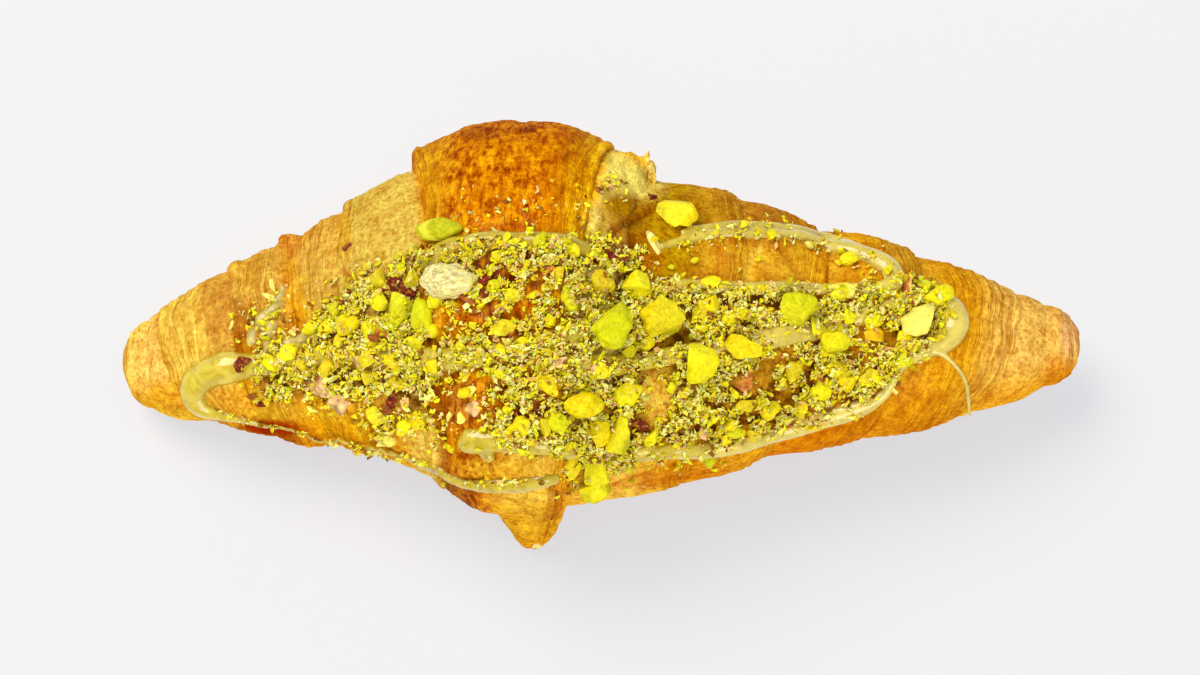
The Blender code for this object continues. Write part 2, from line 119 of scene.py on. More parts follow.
strewn = {
    "outlines": (  # how thickly inside, and the outline
        (1.0, ((240, 378), (262, 350), (300, 334), (315, 318), (336, 300), (362, 280), (398, 264),
               (425, 252), (470, 246), (520, 240), (580, 240), (606, 238), (645, 254), (700, 280),
               (770, 289), (830, 291), (885, 284), (905, 278), (926, 284), (948, 290), (950, 314),
               (925, 350), (903, 362), (892, 388), (855, 410), (800, 424), (740, 440), (715, 462),
               (690, 448), (640, 456), (600, 478), (570, 484), (555, 462), (500, 444), (445, 440),
               (428, 446), (410, 446), (380, 434), (330, 412), (265, 402))),
        (0.16, ((655, 262), (664, 238), (705, 224), (765, 220), (830, 228), (880, 250), (898, 280),
                (878, 280), (850, 264), (800, 248), (740, 246), (690, 250))),
        (0.45, ((596, 178), (618, 176), (624, 196), (612, 204), (598, 200))),
        (0.14, ((290, 330), (330, 270), (400, 250), (420, 262), (350, 300), (310, 340))),
        (0.10, ((540, 452), (700, 450), (690, 478), (560, 494))),
        (0.2, ((250, 296), (288, 292), (286, 344), (262, 362), (240, 346), (236, 322))),
        # a sparse sprinkle over the glazed middle turn, standing in for its glints: painted highlights made
        # of pale crumbs
        (0.03, ((448, 186), (604, 186), (580, 240), (440, 240))),
    ),
    "rims": (  # rows along a rim: crumbs tried, how far they stray and their line
        (300, 1.6, ((300, 433), (335, 443), (365, 451), (400, 457), (428, 463))),
        (80, 2.0, ((440, 482), (500, 484), (555, 480))),
        (50, 2.0, ((216, 412), (260, 424), (300, 433))),
    ),
    "bare": (  # x, y, width, height and how bare
        (462, 428, 28, 26, 0.9), (464, 398, 28, 24, 0.85), (455, 317, 26, 20, 0.75),
        (400, 288, 18, 8, 0.8), (392, 404, 11, 9, 0.7), (658, 394, 18, 26, 0.9), (668, 264, 26, 14, 0.9),
        (760, 268, 100, 18, 0.95), (320, 410, 60, 14, 0.8), (786, 355, 16, 20, 0.6),
        (872, 346, 20, 18, 0.5), (790, 334, 30, 8, 0.9), (240, 388, 26, 10, 0.9), (752, 378, 14, 14, 0.5),
        (410, 442, 20, 22, 0.85), (560, 474, 30, 10, 0.6), (350, 362, 70, 6, 0.35),
        (455, 358, 36, 8, 0.55), (670, 447, 36, 6, 0.7), (826, 413, 30, 6, 0.6), (520, 300, 30, 12, 0.4),
        (575, 330, 22, 12, 0.35), (560, 394, 24, 9, 0.35), (540, 335, 70, 60, 0.2),
    ),
    "fringe": 8.0, "bareFringe": 1.6,  # softness in pixels, and in shares of a patch's size
}


def insideOutline(px, py, outline):
    inside = np.zeros(np.shape(px), bool)
    for (x0, y0), (x1, y1) in zip(outline, (*outline[1:], outline[0])):
        crosses = (y0 > py) != (y1 > py)
        inside ^= crosses & (px < (x1 - x0) * (py - y0) / ((y1 - y0) or 1) + x0)
    return inside


def crumbShare(px, py):  # how thickly crumbs lie at points of the picture
    share = np.zeros(np.shape(px))
    fringe = strewn["fringe"]
    around = [(0, 0)] + [(fringe * math.cos(angle), fringe * math.sin(angle)) for angle in range(6)]
    for most, outline in strewn["outlines"]:
        hits = (insideOutline(px + dx, py + dy, outline).astype(float) for dx, dy in around)
        share = np.maximum(share, most * (sum(hits) / len(around)))
    for x, y, wide, high, bare in strewn["bare"]:
        away = np.hypot((px - x) / wide, (py - y) / high)
        share = share * (1 - bare * eased(strewn["bareFringe"] - away))
    return share


# Shader maths: a socket that can be added, multiplied and so on

class Wire:
    def __init__(self, paint, socket):
        self.paint, self.socket = paint, socket

    def sum(self, kind, first, second):
        return self.paint.node("ShaderNodeMath", {"operation": kind}, {0: first, 1: second})

    def __add__(self, other):
        return self.sum("ADD", self, other)

    def __sub__(self, other):
        return self.sum("SUBTRACT", self, other)

    def __rsub__(self, other):
        return self.sum("SUBTRACT", other, self)

    def __mul__(self, other):
        return self.sum("MULTIPLY", self, other)

    __radd__, __rmul__ = __add__, __mul__

    def band(self, low, high):  # 0 below low, 1 above high, eased between
        sockets = {"Value": self, "From Min": low, "From Max": high}
        return self.paint.node("ShaderNodeMapRange", {"interpolation_type": "SMOOTHSTEP"}, sockets)


class Paint:  # one procedural material
    def __init__(self, name):
        self.material = bpy.data.materials.new(name)
        self.material.use_nodes = True
        self.tree = self.material.node_tree
        self.shader = self.tree.nodes["Principled BSDF"]

    def node(self, kind, settings=None, sockets=None, output=0):
        new = self.tree.nodes.new(kind)
        for name, value in (settings or {}).items():
            setattr(new, name, value)
        for name, value in (sockets or {}).items():
            self.plug(new.inputs[name], value)
        return Wire(self, new.outputs[output])

    def plug(self, socket, value):
        if isinstance(value, Wire):
            self.tree.links.new(value.socket, socket)
        elif isinstance(value, (tuple, list)) and len(socket.default_value) == 4:
            socket.default_value = (*value[:3], 1.0)
        else:
            socket.default_value = value

    def scaled(self, at, scale):
        return self.node("ShaderNodeVectorMath", {"operation": "SCALE"}, {0: at, "Scale": scale})

    def place(self):  # object coordinates in millimetres
        return self.scaled(self.node("ShaderNodeTexCoord", output=3), 1 / mm)

    def attribute(self, name, output=2):
        return self.node("ShaderNodeAttribute", {"attribute_name": name}, output=output)

    def grain(self, at, size, detail=3.0, rough=0.55, warp=0.0):  # noise whose lumps are this many mm wide
        sockets = {"Vector": at, "Scale": 1 / size, "Detail": detail, "Roughness": rough,
                   "Distortion": warp}
        return self.node("ShaderNodeTexNoise", sockets=sockets)

    def mix(self, share, first, second, how="MIX"):
        settings = {"data_type": "RGBA", "blend_type": how}
        return self.node("ShaderNodeMix", settings, {0: share, 6: first, 7: second}, output=2)

    def tinted(self, colour, share, tint):  # multiplied by a tint, as far as the share goes
        return self.mix(share, colour, tint, "MULTIPLY")

    def bump(self, height, depth):
        sockets = {"Height": height, "Distance": depth * mm, "Strength": 1.0}
        return self.node("ShaderNodeBump", sockets=sockets)

    def set(self, **sockets):
        for name, value in sockets.items():
            self.plug(self.shader.inputs[name.replace("_", " ")], value)


# Small helpers for meshes

def startMesh():
    if bpy.context.object and bpy.context.object.mode != "OBJECT":
        bpy.ops.object.mode_set(mode="OBJECT")
    bpy.ops.object.select_all(action="DESELECT")


def finishPiece(piece, name, paint, nodes=(), smooth=180.0):
    startMesh()
    piece.name = piece.data.name = name
    piece.data.materials.clear()
    piece.data.materials.append(paint.material)
    piece.select_set(True)
    bpy.context.view_layer.objects.active = piece
    if smooth >= 180:
        bpy.ops.object.shade_smooth()
    elif smooth > 0:
        bpy.ops.object.shade_smooth_by_angle(angle=math.radians(smooth))
    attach(piece, "root")
    if nodes:
        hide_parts(*nodes)
    return piece


def keep(mesh, name, values, kind="FLOAT"):  # one number or colour for each vertex
    layer = mesh.attributes.new(name, kind, "POINT")
    part = "color" if kind == "FLOAT_COLOR" else "value"
    layer.data.foreach_set(part, np.asarray(values, np.float32).ravel())


def faceOutwards(mesh):
    bm = bmesh.new()
    bm.from_mesh(mesh)
    bmesh.ops.recalc_face_normals(bm, faces=bm.faces[:])
    bm.to_mesh(mesh)
    bm.free()
    mesh.update()


def joined(objects):
    startMesh()
    for piece in objects:
        piece.select_set(True)
    bpy.context.view_layer.objects.active = objects[0]
    bpy.ops.object.join()
    return bpy.context.object


def treeOf(*objects):  # for dropping things on, in millimetres
    points, faces, first = [], [], 0
    for piece in objects:
        mesh = piece.data
        co = np.empty(len(mesh.vertices) * 3, np.float32)
        mesh.vertices.foreach_get("co", co)
        mesh.calc_loop_triangles()
        corners = np.empty(len(mesh.loop_triangles) * 3, np.int32)
        mesh.loop_triangles.foreach_get("vertices", corners)
        points.append(co.reshape(-1, 3) / mm)
        faces.append(corners.reshape(-1, 3) + first)
        first += len(mesh.vertices)
    return BVHTree.FromPolygons(np.concatenate(points).tolist(), np.concatenate(faces).tolist())


# Rolled dough: six turns, each longer and thinner than the one over it

dough = {
    "middle": -15.0, "middleDepth": 39.0,
    "edges": {left: (37, 52, 62, 74, 89, 96.2), right: (3, 29, 45, 64, 84, 96.1)},
    "slants": {left: (4, 6, 7, 8, 9, 0), right: (11, 10, 9, 9, 8, 0)},
    "leans": {left: 1.0, right: 2.5},
    "shoulders": {left: (33.4, 25.6, 20.6, 17.4, 10.9, 8.6), right: (35.8, 28.4, 22.1, 18.3, 11.9, 8.2)},
    "steps": {left: (5.0, 2.2, 1.6, 1.6, 1.2), right: (7.8, 1.4, 1.6, 1.6, 1.2)},
    "shifts": {left: (2.7, 0.6, -0.5, -1.9, -4.4, -4.1), right: (0.3, -1.1, -0.7, -2.4, -2.9, -2.0)},
    "lifts": {left: 5.0, right: 11.0},
    "lips": {left: (1.9, 2.0, 1.6, 1.6, 1.4, 5.5), right: (1.4, 2.0, 1.8, 1.6, 1.4, 7.4)},
    "frontStep": 0.3, "taper": 0.34, "bulge": 0.9, "sink": 3.0,
    "up": 0.78, "down": 0.70, "squareness": 2.25,             # its cross-section
    "torn": 9.0, "lump": 0.7, "lumpSize": 14.0, "crumb": 1.6, "crumbSize": 4.5, "centring": 0.9,
    "waver": 1.0, "ruffle": 0.45, "ruffleSize": 3.2,          # unevenness of the edges
    "mesh": 0.61,                           # spacing of the mesh
    "columns": (240, 220, 200, 180, 150, 124),
    "firstColumn": math.radians(80), "crowding": 0.42,        # columns lie closer together on top
    "tornFace": 13.0, "tornProfile": ((0, 0), (0.45, 0.12), (0.85, 0.42), (1, 1)),
    "blister": 0.32, "blisterSize": 2.6, "wrinkle": 0.3, "wrinkleSize": (2.2, 7.0, 7.0),
    "layer": 0.26, "layerPitch": 1.9, "layerRise": 0.16,      # the baked layers near an edge
    "layered": {left: (4.5, 5.0, 11.0, 13.0, 12.0, 3.0), right: (8.5, 6.0, 8.0, 12.0, 19.0, 5.0)},
}
last = len(dough["columns"]) - 1
lead = math.radians(20)  # the slants reach furthest this much below the front


def stopsAlong(middleValue, values):
    stops = [(dough["middle"], middleValue)]
    for side in (left, right):
        halfway = (dough["middle"] + side * dough["edges"][side][0]) / 2
        stops.append((halfway, 0.75 * middleValue + 0.25 * values[side][0]))
        stops += [(side * edge, value) for edge, value in zip(dough["edges"][side], values[side])]
    return sorted(stops)


depthStops = stopsAlong(dough["middleDepth"], dough["shoulders"])
shiftStops = stopsAlong(0.0, dough["shifts"])


@functools.lru_cache(None)
def axisAt(x):
    side = left if x < dough["middle"] else right
    share = abs(x - dough["middle"]) / abs(side * dough["edges"][side][-1] - dough["middle"])
    lift = dough["lifts"][side] * smoothStep((share - 0.25) / 0.75) ** 0.7
    return between(shiftStops, x), dough["down"] * between(depthStops, x) - dough["sink"] + lift


def frontness(turn):
    return 0.5 + 0.5 * math.cos(turn + lead)


@functools.lru_cache(None)
def edgeAt(level, side, turn):
    if level == last:
        return side * dough["edges"][side][level]
    ring = Vector((math.cos(turn), math.sin(turn), 3.0 * level + side))
    waver = dough["waver"] * noise.noise(1.3 * ring)
    reach = dough["shoulders"][side][level]
    ruffled = Vector((*(ring.xy * reach / dough["ruffleSize"]), 7.0 * level + side))
    waver += dough["ruffle"] * noise.noise(ruffled)
    slant = dough["slants"][side][level] * frontness(turn) ** (1.6 if level else 0.4)
    lean = dough["leans"][side] * (1 - math.sin(turn)) if level else 0.0
    return side * (dough["edges"][side][level] - slant - lean + waver)


def shoulderAt(level, side, turn):
    return dough["shoulders"][side][level] + dough["taper"] * dough["slants"][side][level] * frontness(turn)


def rootAt(level, side, turn):
    if level == 0:
        return dough["middleDepth"]
    share = dough["frontStep"] + (1 - dough["frontStep"]) * (1 - frontness(turn))
    return shoulderAt(level - 1, side, turn) - dough["steps"][side][level - 1] * share


def onDough(x, reach, turn, crumb=0.0):
    y, z = axisAt(round(x, 3))
    c, s = math.cos(turn), math.sin(turn)
    power = 2 / dough["squareness"]
    y -= reach * math.copysign(abs(c) ** power, c)
    z += reach * (dough["up"] if s > 0 else dough["down"]) * math.copysign(abs(s) ** power, s)
    point = Vector((x, y, z))
    point += dough["lump"] * noise.noise_vector(point / dough["lumpSize"])
    if crumb:
        point += crumb * noise.noise_vector(Vector((x, y, z)) / dough["crumbSize"])
    return point


def turnSteps(level, side):  # (stage, share) steps from the root of a turn to where it closes
    edge = dough["edges"][side][level]
    start = dough["middle"] * side if level == 0 else dough["edges"][side][level - 1]
    length = abs(edge - start) + (2 if level else 0)
    rows = round(length / dough["mesh"])
    skin = [("skin", (n + 1) / rows) for n in range(rows)]
    covered = [("core", 1.0)] if level else []
    if level == last:
        tips = 18
        return covered + skin + [("tip", (n + 1) / (tips + 1)) for n in range(tips)]
    lips = 6
    lip = [("lip", (n + 1) / lips) for n in range(lips)]
    torn = []
    if level == 0 and side == right:
        rows = round(dough["tornFace"] / dough["mesh"])
        torn = [("torn", (n + 1) / rows) for n in range(rows)]
    return covered + skin + lip + torn + [("wall", 0.85), ("wall", 0.5)]


def rollPoint(level, side, stage, share, turn):  # place, distance in from the edge, and how torn it is
    lip, edge = dough["lips"][side][level], edgeAt(level, side, turn)
    root, shoulder = rootAt(level, side, turn), shoulderAt(level, side, turn)
    start = dough["middle"]
    if level:
        start = edgeAt(level - 1, side, turn) - side * dough["lips"][side][level - 1] / 2
    stop = edge - side * lip
    slope = dough["torn"] * smoothStep(1.6 * math.sin(turn - lead)) if side == right else 0.0
    foot, rim = rootAt(1, side, turn) - 1.0, shoulder - lip
    bend = share * math.pi / 2
    crumb = 0.0
    if stage == "core":
        x, reach = start, root * 0.96
    elif stage == "skin":
        x = start + (stop - start) * share
        reach = root + (shoulder - root) * (share if level else share * share)
        reach += dough["bulge"] * math.sin(math.pi * share)
    elif stage == "tip":
        x, reach = stop + side * lip * math.sin(bend), shoulder * math.cos(bend)
    elif stage == "lip":
        x, reach = stop + side * lip * math.sin(bend), shoulder - lip * (1 - math.cos(bend))
    elif stage == "torn":
        x = edge + side * slope * share
        down = between(dough["tornProfile"], share)
        reach, crumb = rim + (foot - rim) * down, min(1.0, slope / dough["torn"] * 3 * share)
    elif level == 0:
        x, reach = edge + side * slope, foot * share
    else:
        x, reach = edge, rim * share
    place = onDough(x, reach, turn, dough["crumb"] * crumb * slope / dough["torn"])
    return place, side * (edge - x), crumb


# How the crust is browned: (at the root, across, at the edge, low in front), and its gloss

tones = {
    "pale": (226, 190, 82), "rosy": (237, 184, 76), "golden": (244, 190, 44), "orange": (236, 166, 24),
    "amber": (226, 136, 6), "brown": (210, 116, 4), "olive": (194, 148, 4), "tan": (219, 158, 38),
    "bright": (246, 178, 12), "biscuit": (247, 199, 100), "under": (204, 126, 28), "crumb": (255, 232, 116),
    "chestnut": (168, 84, 6), "moss": (176, 122, 6), "straw": (250, 208, 88), "peach": (246, 192, 92),
    "ember": (170, 46, 0), "blush": (240, 182, 124), "clay": (200, 134, 44), "blaze": (255, 190, 14),
}
browning = {
    left: (("amber", "amber", "orange", "amber", 1.0), ("pale", "pale", "pale", "orange", 0.3),
           ("rosy", "rosy", "orange", "orange", 0.45), ("orange", "rosy", "orange", "amber", 0.5),
           ("rosy", "straw", "straw", "orange", 0.4), ("biscuit", "biscuit", "straw", "golden", 0.35)),
    right: (("amber", "amber", "blaze", "amber", 1.0), ("olive", "olive", "tan", "orange", 0.5),
            ("tan", "tan", "orange", "orange", 0.45), ("tan", "orange", "tan", "amber", 0.5),
            ("tan", "orange", "peach", "orange", 0.4), ("peach", "peach", "peach", "orange", 0.4)),
}
patches = (  # where the crust is browner or paler than its turn: x, y and reach in mm, tone and strength
    (-16, -41, 7, "orange", 0.9), (-27, -34, 3.6, "chestnut", 0.75), (-28, -22, 5, "brown", 0.7),
    (-76, 6, 7, "rosy", 0.8), (-74, 14, 6, "rosy", 0.7), (-66, -22, 5, "chestnut", 0.6),
    (-34, -27, 2.6, "straw", 0.9), (-32.5, -30.5, 2.4, "straw", 0.9), (-73, 3, 5, "rosy", 0.8),
    (-55, 8, 6, "rosy", 0.6), (34, 19, 6, "chestnut", 0.5), (62, -22, 8, "brown", 0.5),
    (95, 0, 3, "brown", 0.7), (92, -9, 4, "brown", 0.6), (5, 13, 5, "moss", 0.9),
    (6, 26, 6, "crumb", 1.0), (-14, -34, 5, "straw", 0.8), (3, -36, 8, "straw", 0.6),
    (22, -33, 6, "brown", 0.3), (7, 6, 5, "chestnut", 0.7), (12, -20, 5, "straw", 0.5),
    (-1.6, 12.5, 2.6, "pale", 0.9), (-50, -22, 6, "bright", 0.7), (-56, -18, 4, "bright", 0.6),
)
blots = (  # the same by points of the picture: x, y, width, height, tone and strength
    (222, 315, 18, 36, "clay", 0.75), (318, 272, 18, 30, "pale", 0.45),
    (160, 395, 26, 14, "orange", 0.75), (140, 362, 14, 30, "biscuit", 0.8),
    (790, 266, 80, 18, "golden", 0.4), (700, 212, 36, 12, "moss", 0.6), (528, 520, 26, 20, "golden", 0.6),
    (524, 499, 30, 6, "straw", 0.9), (464, 466, 17, 13, "brown", 0.8), (468, 404, 22, 22, "clay", 0.6),
    # the ember blot at 270, 429 is the lower tier's baked red with painted shade over it
    (270, 429, 34, 8, "ember", 1.0), (415, 428, 14, 18, "straw", 0.7), (425, 457, 12, 22, "straw", 1.0),
    (622, 205, 20, 12, "moss", 1.0), (591, 216, 9, 14, "crumb", 0.9), (276, 412, 34, 7, "golden", 0.7),
    (268, 394, 32, 8, "golden", 0.9), (290, 245, 12, 9, "brown", 1.0), (1070, 330, 9, 28, "blush", 0.8),
    (478, 133, 22, 7, "chestnut", 0.8), (520, 130, 16, 4, "chestnut", 0.7),
    (564, 137, 22, 6, "brown", 0.8), (510, 172, 7, 9, "brown", 0.8), (497, 196, 9, 12, "brown", 0.8),
    (450, 200, 8, 10, "brown", 0.6), (540, 188, 10, 8, "brown", 0.5), (425, 195, 8, 40, "orange", 0.5),
    (580, 158, 12, 10, "brown", 0.5), (670, 476, 34, 8, "brown", 0.35), (505, 470, 44, 14, "golden", 0.7),
    (524, 505, 26, 12, "golden", 0.6), (597, 163, 10, 14, "blaze", 0.9), (591, 188, 10, 16, "blaze", 0.9),
    (581, 212, 10, 16, "blaze", 0.9), (572, 232, 9, 8, "blaze", 0.9), (318, 412, 60, 8, "golden", 0.5),
    (310, 250, 20, 20, "peach", 0.5), (240, 330, 7, 34, "chestnut", 0.45),
    (345, 232, 6, 26, "orange", 0.6), (900, 410, 34, 12, "orange", 0.4),
)
calm = (  # where no layers show: x, y, width and height in the picture
    (530, 492, 34, 30), (270, 429, 36, 9), (425, 440, 18, 30),
)
creases = (  # folds and cracks: width, depth and step in mm, tone, strength and line of the picture
    # brown, chestnut and moss darken a groove: painted shade in the crease; bright and straw lines are
    # crust in its own colour
    (0.7, 0.5, 0.2, "brown", 0.8, ((719, 247), (722, 260), (718, 275), (716, 286))),
    (0.6, 0.4, 0.2, "straw", 0.7, ((762, 246), (750, 262), (745, 282))),
    (0.7, 0.5, -0.2, "chestnut", 0.6, ((776, 244), (787, 254), (792, 264), (799, 274), (805, 284))),
    (0.6, 0.4, 0.2, "brown", 0.7, ((853, 260), (857, 275), (850, 288))),
    (0.8, 0.7, -0.6, "chestnut", 0.7, ((606, 240), (613, 230), (625, 222), (640, 214), (652, 208))),
    (0.7, 0.5, -0.5, "moss", 0.8, ((588, 199), (598, 206), (603, 218), (600, 234))),
    (0.7, 0.5, 0.0, "brown", 0.7, ((344, 272), (351, 279), (362, 284))),
    (0.9, 0.7, 0.4, "chestnut", 0.8, ((435, 372), (439, 395), (441, 420), (441, 445), (445, 468))),
    (0.8, 0.6, 0.2, "brown", 0.8, ((640, 487), (670, 481), (700, 477), (726, 471))),
    (0.7, 0.5, 0.2, "brown", 0.6, ((600, 492), (640, 478), (690, 462))),
    (0.7, 0.6, 0.3, "chestnut", 0.8, ((551, 488), (549, 505), (545, 522), (540, 536))),
    (0.6, 0.6, 0.0, "chestnut", 0.9, ((558, 494), (557, 508), (553, 524))),
    (0.9, -0.5, 0.0, "bright", 0.9, ((606, 146), (620, 150), (634, 158), (646, 170))),
    (0.7, 0.6, 0.5, "chestnut", 0.9,
     ((489, 456), (487, 464), (481, 472), (479, 482), (462, 480), (440, 476))),
    (0.6, 0.5, 0.2, "chestnut", 0.7, ((452, 376), (454, 396), (451, 420))),
    (0.6, 0.4, 0.2, "brown", 0.7, ((470, 380), (474, 400), (472, 424))),
    (0.6, 0.4, 0.2, "brown", 0.7, ((500, 384), (497, 404), (494, 424))),
    (0.6, 0.3, 0.1, "brown", 0.5, ((250, 300), (246, 330), (250, 352))),
)
knobs = (  # x, y, z, reach and height in mm
    (-62.0, 16.2, 23.6, 2.6, 2.8), (-72.2, 11.6, 23.4, 2.0, 1.7), (9.0, 30.5, 32.0, 2.2, 1.4),
)
crustLook = {
    "toasted": (0.74, 0.51, 0.12), "lighter": (1.2, 1.36, 1.2),             # tints that multiply the tone
    "glazedDark": (0.58, 0.34, 0.07), "glazedLight": (1.25, 1.6, 1.6),
    "rim": (0.66, 0.42, 0.14), "speck": (0.64, 0.38, 0.12),
    # the last tint darkens the crust under the crumbs: painted shade between them
    "torn": (1.18, 1.12, 0.94), "shadeBetweenCrumbs": (0.15, 0.08, 0.03),
    "backLoses": (0.12, 0.16, 0.5),                                         # of red, green and blue
    "sizes": {"broad": 8.0, "blotch": 2.6, "mottle": 1.2, "speck": 0.85, "dust": 0.32},
    "streakPull": 0.045, "streakPitch": 1.15, "fineStreaks": 2.7,
    "relief": 0.85, "roughness": 0.6, "glossed": 0.28, "coat": 0.04, "coatRoughness": 0.12,
}
toneNumbers = {name: Vector(linear(colour)) for name, colour in tones.items()}


def crustTone(level, side, share, turn, crumb, place):
    root, across, edge, front = (toneNumbers[name] for name in browning[side][level][:4])
    colour = root.lerp(across, smoothStep(share * 3)).lerp(edge, smoothStep(share * 2.5 - 1.4))
    low = smoothStep(1.2 * math.cos(turn) - 0.35) * (1 if math.sin(turn) > -0.5 else 0.6)
    colour = colour.lerp(front, low)
    colour = colour.lerp(toneNumbers["under"], smoothStep(-1.6 * math.sin(turn) - 0.5))
    if level == 0 and not crumb:  # darkest over its back
        back = smoothStep(1.5 * math.sin(turn - 1.9) + 0.1 + 0.5 * noise.noise(place / 7))
        colour = Vector(part * (1 - loss * back) for part, loss in zip(colour, crustLook["backLoses"]))
    colour = colour.lerp(toneNumbers["crumb"], smoothStep(crumb * 1.5))
    if math.sin(turn) > -0.6:
        for x, y, reach, name, strength in patches:
            near = 1.5 - math.hypot(place.x - x, place.y - y) / reach
            if near > 0:
                colour = colour.lerp(toneNumbers[name], strength * smoothStep(near))
    return colour


def skinHeight(level, side, place, inward, layered, crumb):
    seedling = Vector((11.0 * level, 5.0 * side, 0))
    lumps = noise.noise(place / dough["blisterSize"] + seedling)
    blister = max(0.0, lumps) ** 1.5 * (1.3 if level else 2.2)
    blister += 0.35 * noise.noise(place / 1.3 + seedling)
    stretched = Vector(part / size for part, size in zip(place, dough["wrinkleSize"]))
    wrinkle = noise.noise(stretched + seedling)
    height = dough["blister"] * blister * (1 - 0.6 * layered)
    height += dough["wrinkle"] * wrinkle * layered * (0.9 if level else 0.4)
    shift = 0.9 * noise.noise(place / 13 + seedling) + 0.12 * noise.noise(place / 3.5)
    saw = (max(inward, 0) / dough["layerPitch"] + shift) % 1.0
    rise = dough["layerRise"]
    profile = 1 - saw if saw > rise else (1 - rise) * saw / rise
    height += dough["layer"] * layered * profile * (0.4 + smoothStep(1 + shift))
    if crumb:
        height = 0.55 * crumb * (noise.noise(place / 1.5) + 0.6 * noise.noise(place / 0.8))
    return height, saw


def alongCrease(px, py, line):  # distance from a line of the picture in mm, and on which side
    near, side = np.full(len(px), 1e6), np.zeros(len(px))
    for (x0, y0), (x1, y1) in zip(line, line[1:]):
        dx, dy = x1 - x0, y1 - y0
        along = np.clip(((px - x0) * dx + (py - y0) * dy) / (dx * dx + dy * dy), 0, 1)
        away = np.hypot(px - x0 - along * dx, py - y0 - along * dy)
        side = np.where(away < near, np.sign(dx * (py - y0) - dy * (px - x0)), side)
        near = np.minimum(near, away)
    return near / cameraSet["pixelsPerMm"], side


def keepCrust(mesh, colours, notes):  # creases and knobs, then what the material reads at each vertex
    places = np.array([vert.co[:] for vert in mesh.vertices]) / mm
    normals = np.array([vert.normal[:] for vert in mesh.vertices])
    px, py = pictureOf(places)
    shown = np.clip(-3 * normals @ np.array(viewLine), 0, 1)
    height, colours = np.zeros(len(places)), np.array(colours)
    for width, depth, step, name, strength, line in creases:
        away, side = alongCrease(px, py, line)
        groove = np.exp(-(away / width) ** 2) * shown
        height += step * side * np.exp(-away / (2 * width)) * shown - depth * groove
        # painted shade along a groove, or the crust's own colour on a raised line
        colours[:, :3] += (strength * groove)[:, None] * (np.array(toneNumbers[name]) - colours[:, :3])
    for x, y, wide, high, name, strength in blots:
        share = strength * eased(1.5 - np.hypot((px - x) / wide, (py - y) / high)) * shown
        colours[:, :3] += share[:, None] * (np.array(toneNumbers[name]) - colours[:, :3])
    for x, y, z, reach, high in knobs:
        height += high * eased(1.4 - np.linalg.norm(places - (x, y, z), axis=1) / reach)
    places += normals * height[:, None]
    places[:, 2] = np.maximum(places[:, 2], 0.0)
    mesh.vertices.foreach_set("co", (places * mm).ravel())
    for x, y, wide, high in calm:
        near = np.clip(1.5 - np.hypot((px - x) / wide, (py - y) / high), 0, 1)
        for name in ("layered", "gloss"):
            notes[name] = np.array(notes[name]) * (1 - 0.85 * near * shown)
    keep(mesh, "tone", colours, "FLOAT_COLOR")
    for name, values in notes.items():
        keep(mesh, name, values)
    # how thickly crumbs lie here, which the material turns into painted shade between them
    upward = np.clip(normals[:, 2] * 2 + 0.6, 0, 1)
    keep(mesh, "covered", crumbShare(px, py) ** 1.6 * upward)


def addTurn(level):
    steps = [(left, *step) for step in reversed(turnSteps(level, left))]
    steps += [] if level else [(left, "skin", 0.0)]
    steps += [(right, *step) for step in turnSteps(level, right)]
    columns = dough["columns"][level] // 1
    startMesh()
    bpy.ops.mesh.primitive_uv_sphere_add(segments=columns, ring_count=len(steps) + 1, radius=1)
    piece = bpy.context.object
    mesh = piece.data
    notes = []
    for vert in mesh.vertices:
        latitude = math.asin(max(-1.0, min(1.0, vert.co.z)))
        row = round((latitude / math.pi + 0.5) * (len(steps) + 1)) - 1
        around = round(math.atan2(vert.co.y, vert.co.x) / (2 * math.pi) * columns) * 2 * math.pi / columns
        turn = round(dough["firstColumn"] + around - dough["crowding"] * math.sin(around), 6)
        if 0 <= row < len(steps):
            side, stage, share = steps[row]
            place, inward, crumb = rollPoint(level, side, stage, share, turn)
        else:
            side, stage, share, inward, crumb = (left if row < 0 else right), "pole", 1.0, 0.0, 0.0
            end = dough["edges"][side][level] - dough["slants"][side][level] / 2
            place = onDough(side * end, 0.0, 0.0)
        vert.co = place
        notes.append((side, stage, share, turn, inward, crumb))
    faceOutwards(mesh)
    flat = np.empty(len(mesh.vertices) * 3, np.float32)
    mesh.vertices.foreach_get("normal", flat)
    outward = flat.reshape(-1, 3)
    colours, edges, layers, torn, gloss, saws = [], [], [], [], [], []
    for vert, normal, (side, stage, share, turn, inward, crumb) in zip(mesh.vertices, outward, notes):
        width = dough["layered"][side][level]
        layered = smoothStep(1.35 - inward / width) * (0.0 if crumb else 1.0)
        height, saw = 0.0, 0.0
        where = vert.co.copy()
        if stage in ("skin", "lip", "torn", "tip"):
            height, saw = skinHeight(level, side, where, inward, layered, crumb)
        where += Vector(normal) * height
        where.y += dough["centring"]
        where.z = max(where.z, 0.0)
        skinShare = share if stage == "skin" else 0.0 if stage == "core" else 1.0
        colours.append((*crustTone(level, side, skinShare, turn, crumb, where), 1.0))
        edges.append(inward)
        layers.append(layered)
        torn.append(crumb)
        gloss.append(browning[side][level][4] * (1 - crumb))
        saws.append(saw)
        vert.co = where * mm
    keepCrust(mesh, colours, {"fromEdge": edges, "layered": layers, "torn": torn, "gloss": gloss,
                              "layerLine": saws})
    return piece


# The point of the dough, hanging down in front, with a folded edge down its right side

